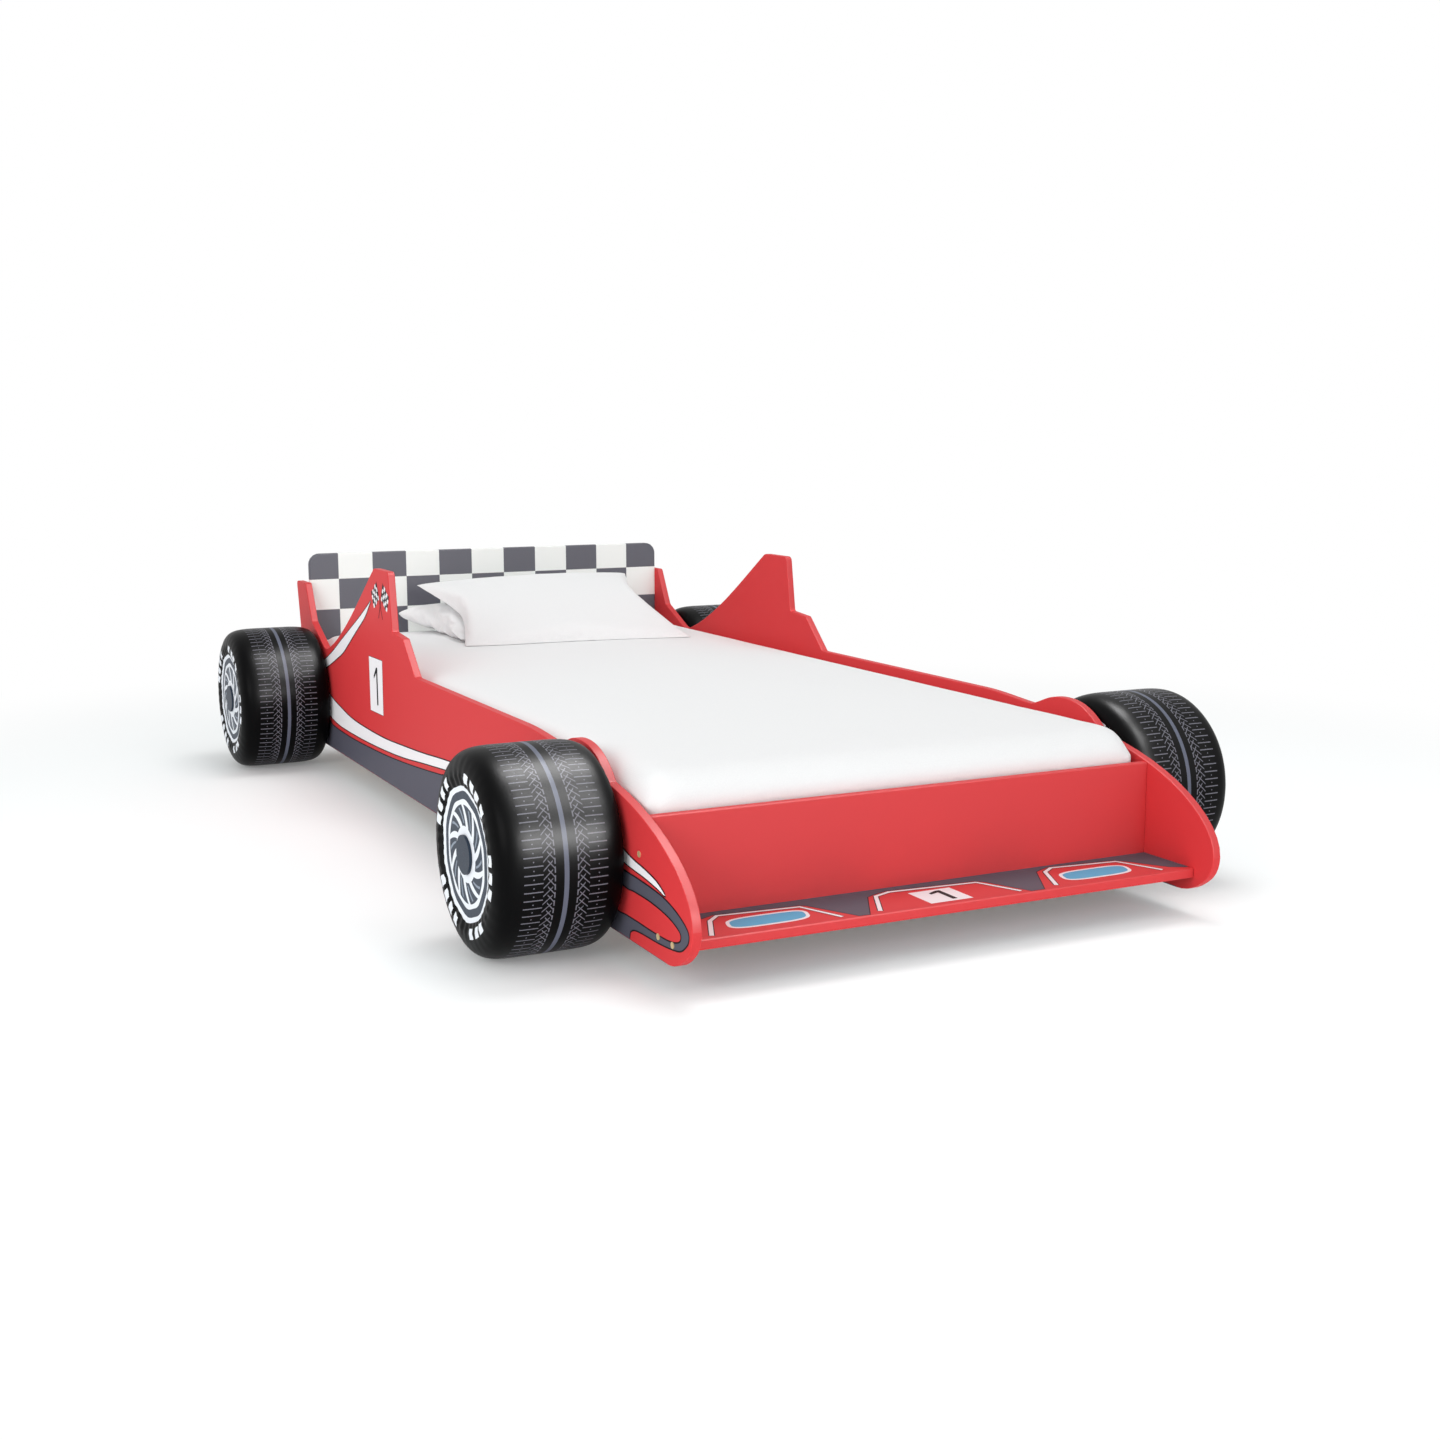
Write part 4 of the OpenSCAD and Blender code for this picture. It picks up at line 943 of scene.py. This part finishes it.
def pillow(nodeName):
    look, form = pillows[nodeName], caseForm
    length, width = look["size"]
    bm = bmesh.new()
    bmesh.ops.create_grid(bm, x_segments=round(length / look["cell"]),
                          y_segments=round(width / look["cell"]), size=0.5)
    bmesh.ops.scale(bm, verts=bm.verts, vec=Vector((length * mm, width * mm, 1)))
    under = bmesh.ops.duplicate(bm, geom=list(bm.verts) + list(bm.edges) + list(bm.faces))["geom"]
    bmesh.ops.reverse_faces(bm, faces=[part for part in under
                                       if isinstance(part, bmesh.types.BMFace)])
    lower = set(part for part in under if isinstance(part, bmesh.types.BMVert))
    for vert in bm.verts:
        # a flat case: a little air in it, its sides drawn in between long pointed corners
        a, b = abs(2 * vert.co.x / (length * mm)), abs(2 * vert.co.y / (width * mm))
        flatA, flatB = max(0, 1 - a ** form["flat"]), max(0, 1 - b ** form["flat"])
        lift = look["dome"] * mm * (flatA * flatB) ** form["dome"]
        vert.co.z = -lift if vert in lower else lift
        drawX = look["draw"][0] * (1 - b ** form["drawAlong"]) * a ** form["drawIn"]
        drawY = look["draw"][1] * (1 - a ** form["drawAlong"]) * b ** form["drawIn"]
        vert.co.x *= 1 - drawX / (length / 2)
        vert.co.y *= 1 - drawY / (width / 2)
    bmesh.ops.remove_doubles(bm, verts=bm.verts, dist=0.00001)
    bm.verts.index_update()
    seam = [vert.index for vert in bm.verts if abs(vert.co.z) < 1e-6]
    obj = addObject(nodeName + " case", bm, [cotton])
    puffUp(obj, look["pressure"], look["frames"], look["cap"], look["slack"], look["gather"],
           seam)
    low, high = cloudOf([v.co for v in obj.data.vertices])
    leans = nodeName == "pillow_front"
    up = Vector((0, 0, 1))
    if leans:
        tilt, turn = math.radians(leaning["tilt"]), math.radians(leaning["turn"])
        up = Vector((math.sin(tilt) * math.sin(turn), -math.sin(tilt) * math.cos(turn),
                     math.cos(tilt)))
    cornerPoints = [Vector((x, y, z)) for (x, y), z in zip(look["corners"], look["seams"])]
    for vert in obj.data.vertices:
        u = (vert.co.x - low[0]) / (high[0] - low[0])
        v = (vert.co.y - low[1]) / (high[1] - low[1])
        # the front edge comes back out between its corners
        bow = max(0, 1 - (2 * u - 1) ** form["flat"]) * max(0, 1 - v) ** form["flat"]
        v -= look["straight"] * bow
        if vert.co.z > 0:
            z = (vert.co.z / high[2]) ** (0.5 + look["plump"] / 2) * look["top"]
        else:
            z = -(vert.co.z / low[2]) ** look["plump"] * look["under"]
        front = cornerPoints[0].lerp(cornerPoints[1], u)
        back = cornerPoints[3].lerp(cornerPoints[2], u)
        spot = front.lerp(back, v) + up * z
        rest = mattressTop(spot.x, spot.y) + form["seatMm"]
        if not leans:
            # squashed under the pillow that leans on it
            pressU, pressV = [max(0, 1 - abs(2 * part - 1) ** form["pressed"]) for part in (u, v)]
            column = look["top"] * (pressU * pressV) ** form["press"]
            room = underLeaning(spot.x, spot.y) - rest - form["underMm"]
            thick = look["under"] + max(column, z) + form["spareMm"]
            squash = max(room, form["leastMm"]) / thick
            spot.z = rest + max(spot.z - rest, 0) * min(1, squash)
        spot.z = max(spot.z, rest)
        vert.co = Vector((spot.x, spot.y - bed["originY"], spot.z)) * mm
    softPiece(obj, nodeName)


fittedMattress()
for nodeName in pillows:
    pillow(nodeName)
print("mattress and pillows made")

# Plain light from a pale room, with a soft lamp above, left and in front. The shine softboxes are
# only mirrored: they draw the broad sheen down the vinyl and along the lacquered edges
studio = {
    "floorHalf": 14, "floor": "#F5F9F9", "floorDrop": 0.0005, "floorRoughness": 0.9,
    "floorGlow": 0.16, "fade": [1.25, 2.7], "world": 0.69,
    "lamps": {
        "key softbox": [(0.3, 0.1, 3.8), (0, 0, 0.2), (1.6, 1.6), 26],
        "left softbox": [(-4.2, -2.6, 2.0), (-0.4, -0.2, 0.3), (3.0, 2.0), 84],
        "front softbox": [(0.8, -4.4, 1.8), (0, -0.4, 0.2), (3.0, 2.0), 8],
        "shine softbox 0": [(0.6, -0.2, 3.6), (-0.4, -0.8, 0.2), (1.5, 1.8), 600],
        "shine softbox 1": [(0.8, -2.3, 3.2), (-0.4, -0.8, 0.2), (1.3, 1.8), 560],
        "shine softbox 2": [(0.6, -4.0, 1.4), (-0.4, -0.8, 0.2), (1.3, 1.1), 760],
    },
}


def showsWhite(tree):
    # 1 for the rays of the camera, of reflections and of what is seen through glass
    rays = addNode(tree, "LightPath")
    seen = addNode(tree, "Math", {0: rays.outputs["Is Camera Ray"],
                                  1: rays.outputs["Is Glossy Ray"]}, operation="MAXIMUM")
    return addNode(tree, "Math", {0: seen, 1: rays.outputs["Is Transmission Ray"]},
                   operation="MAXIMUM")


bm = bmesh.new()
bmesh.ops.create_grid(bm, x_segments=1, y_segments=1, size=studio["floorHalf"])
bmesh.ops.translate(bm, verts=bm.verts, vec=(0, 0, -studio["floorDrop"]))
# painted board, matt and pale, that keeps the bed's shadow and fades into the white round it
floorMaterial, tree, shader = newMaterial(
    "painted studio floor, pale", Base_Color=linear(studio["floor"]),
    Roughness=studio["floorRoughness"])
place = addNode(tree, "TexCoord")
distance = addNode(tree, "VectorMath", {0: place.outputs["Object"]}, operation="LENGTH")
near, far = studio["fade"]
fade = addNode(tree, "MapRange", {"Value": distance.outputs["Value"], "From Min": near,
                                  "From Max": far}, interpolation_type="SMOOTHSTEP")
fade = addNode(tree, "Math", {0: fade, 1: studio["floorGlow"]}, operation="MAXIMUM")
amount = addNode(tree, "Math", {0: fade, 1: showsWhite(tree)}, operation="MULTIPLY")
glow = addNode(tree, "Emission", {"Color": (1, 1, 1, 1), "Strength": 1.0})
blend = addNode(tree, "MixShader", {0: amount, 1: shader, 2: glow})
tree.links.new(blend.outputs[0], tree.nodes["Material Output"].inputs["Surface"])
addObject("studio floor", bm, [floorMaterial])

world = bpy.data.worlds.new("studio")
bpy.context.scene.world = world
world.use_nodes = True
tree = world.node_tree
tree.nodes.clear()
strength = addNode(tree, "Mix", {"Factor": showsWhite(tree), "A": studio["world"], "B": 1.0},
                   data_type="FLOAT")
sky = addNode(tree, "Background", {"Color": (1, 1, 1, 1), "Strength": strength})
addNode(tree, "OutputWorld", {"Surface": sky})


def softbox(name, place, target, size, watts):
    light = bpy.data.lights.new(name, "AREA")
    light.shape = "RECTANGLE"
    light.size, light.size_y = size
    light.energy = watts
    lamp = bpy.data.objects.new(name, light)
    lamp.location = place
    lamp.rotation_euler = (Vector(target) - Vector(place)).to_track_quat("-Z", "Y").to_euler()
    bpy.context.scene.collection.objects.link(lamp)
    return lamp


for name, (place, aim, size, watts) in studio["lamps"].items():
    lamp = softbox(name, place, aim, size, watts)
    lamp.visible_diffuse = "shine" not in name

photoCamera = {"place": (-1.539, -3.3044, 0.8236), "pitch": 9.566, "yaw": 26.826, "lens": 44.0,
               "sensor": 36.0}
camera = bpy.data.cameras.new("photo camera")
camera.sensor_width = photoCamera["sensor"]
camera.lens = photoCamera["lens"]
cameraObject = bpy.data.objects.new("photo camera", camera)
cameraObject.location = photoCamera["place"]
cameraObject.rotation_euler = (math.radians(90 - photoCamera["pitch"]), 0,
                               math.radians(-photoCamera["yaw"]))
bpy.context.scene.collection.objects.link(cameraObject)
bpy.context.scene.camera = cameraObject
bpy.context.scene.view_settings.view_transform = "Standard"
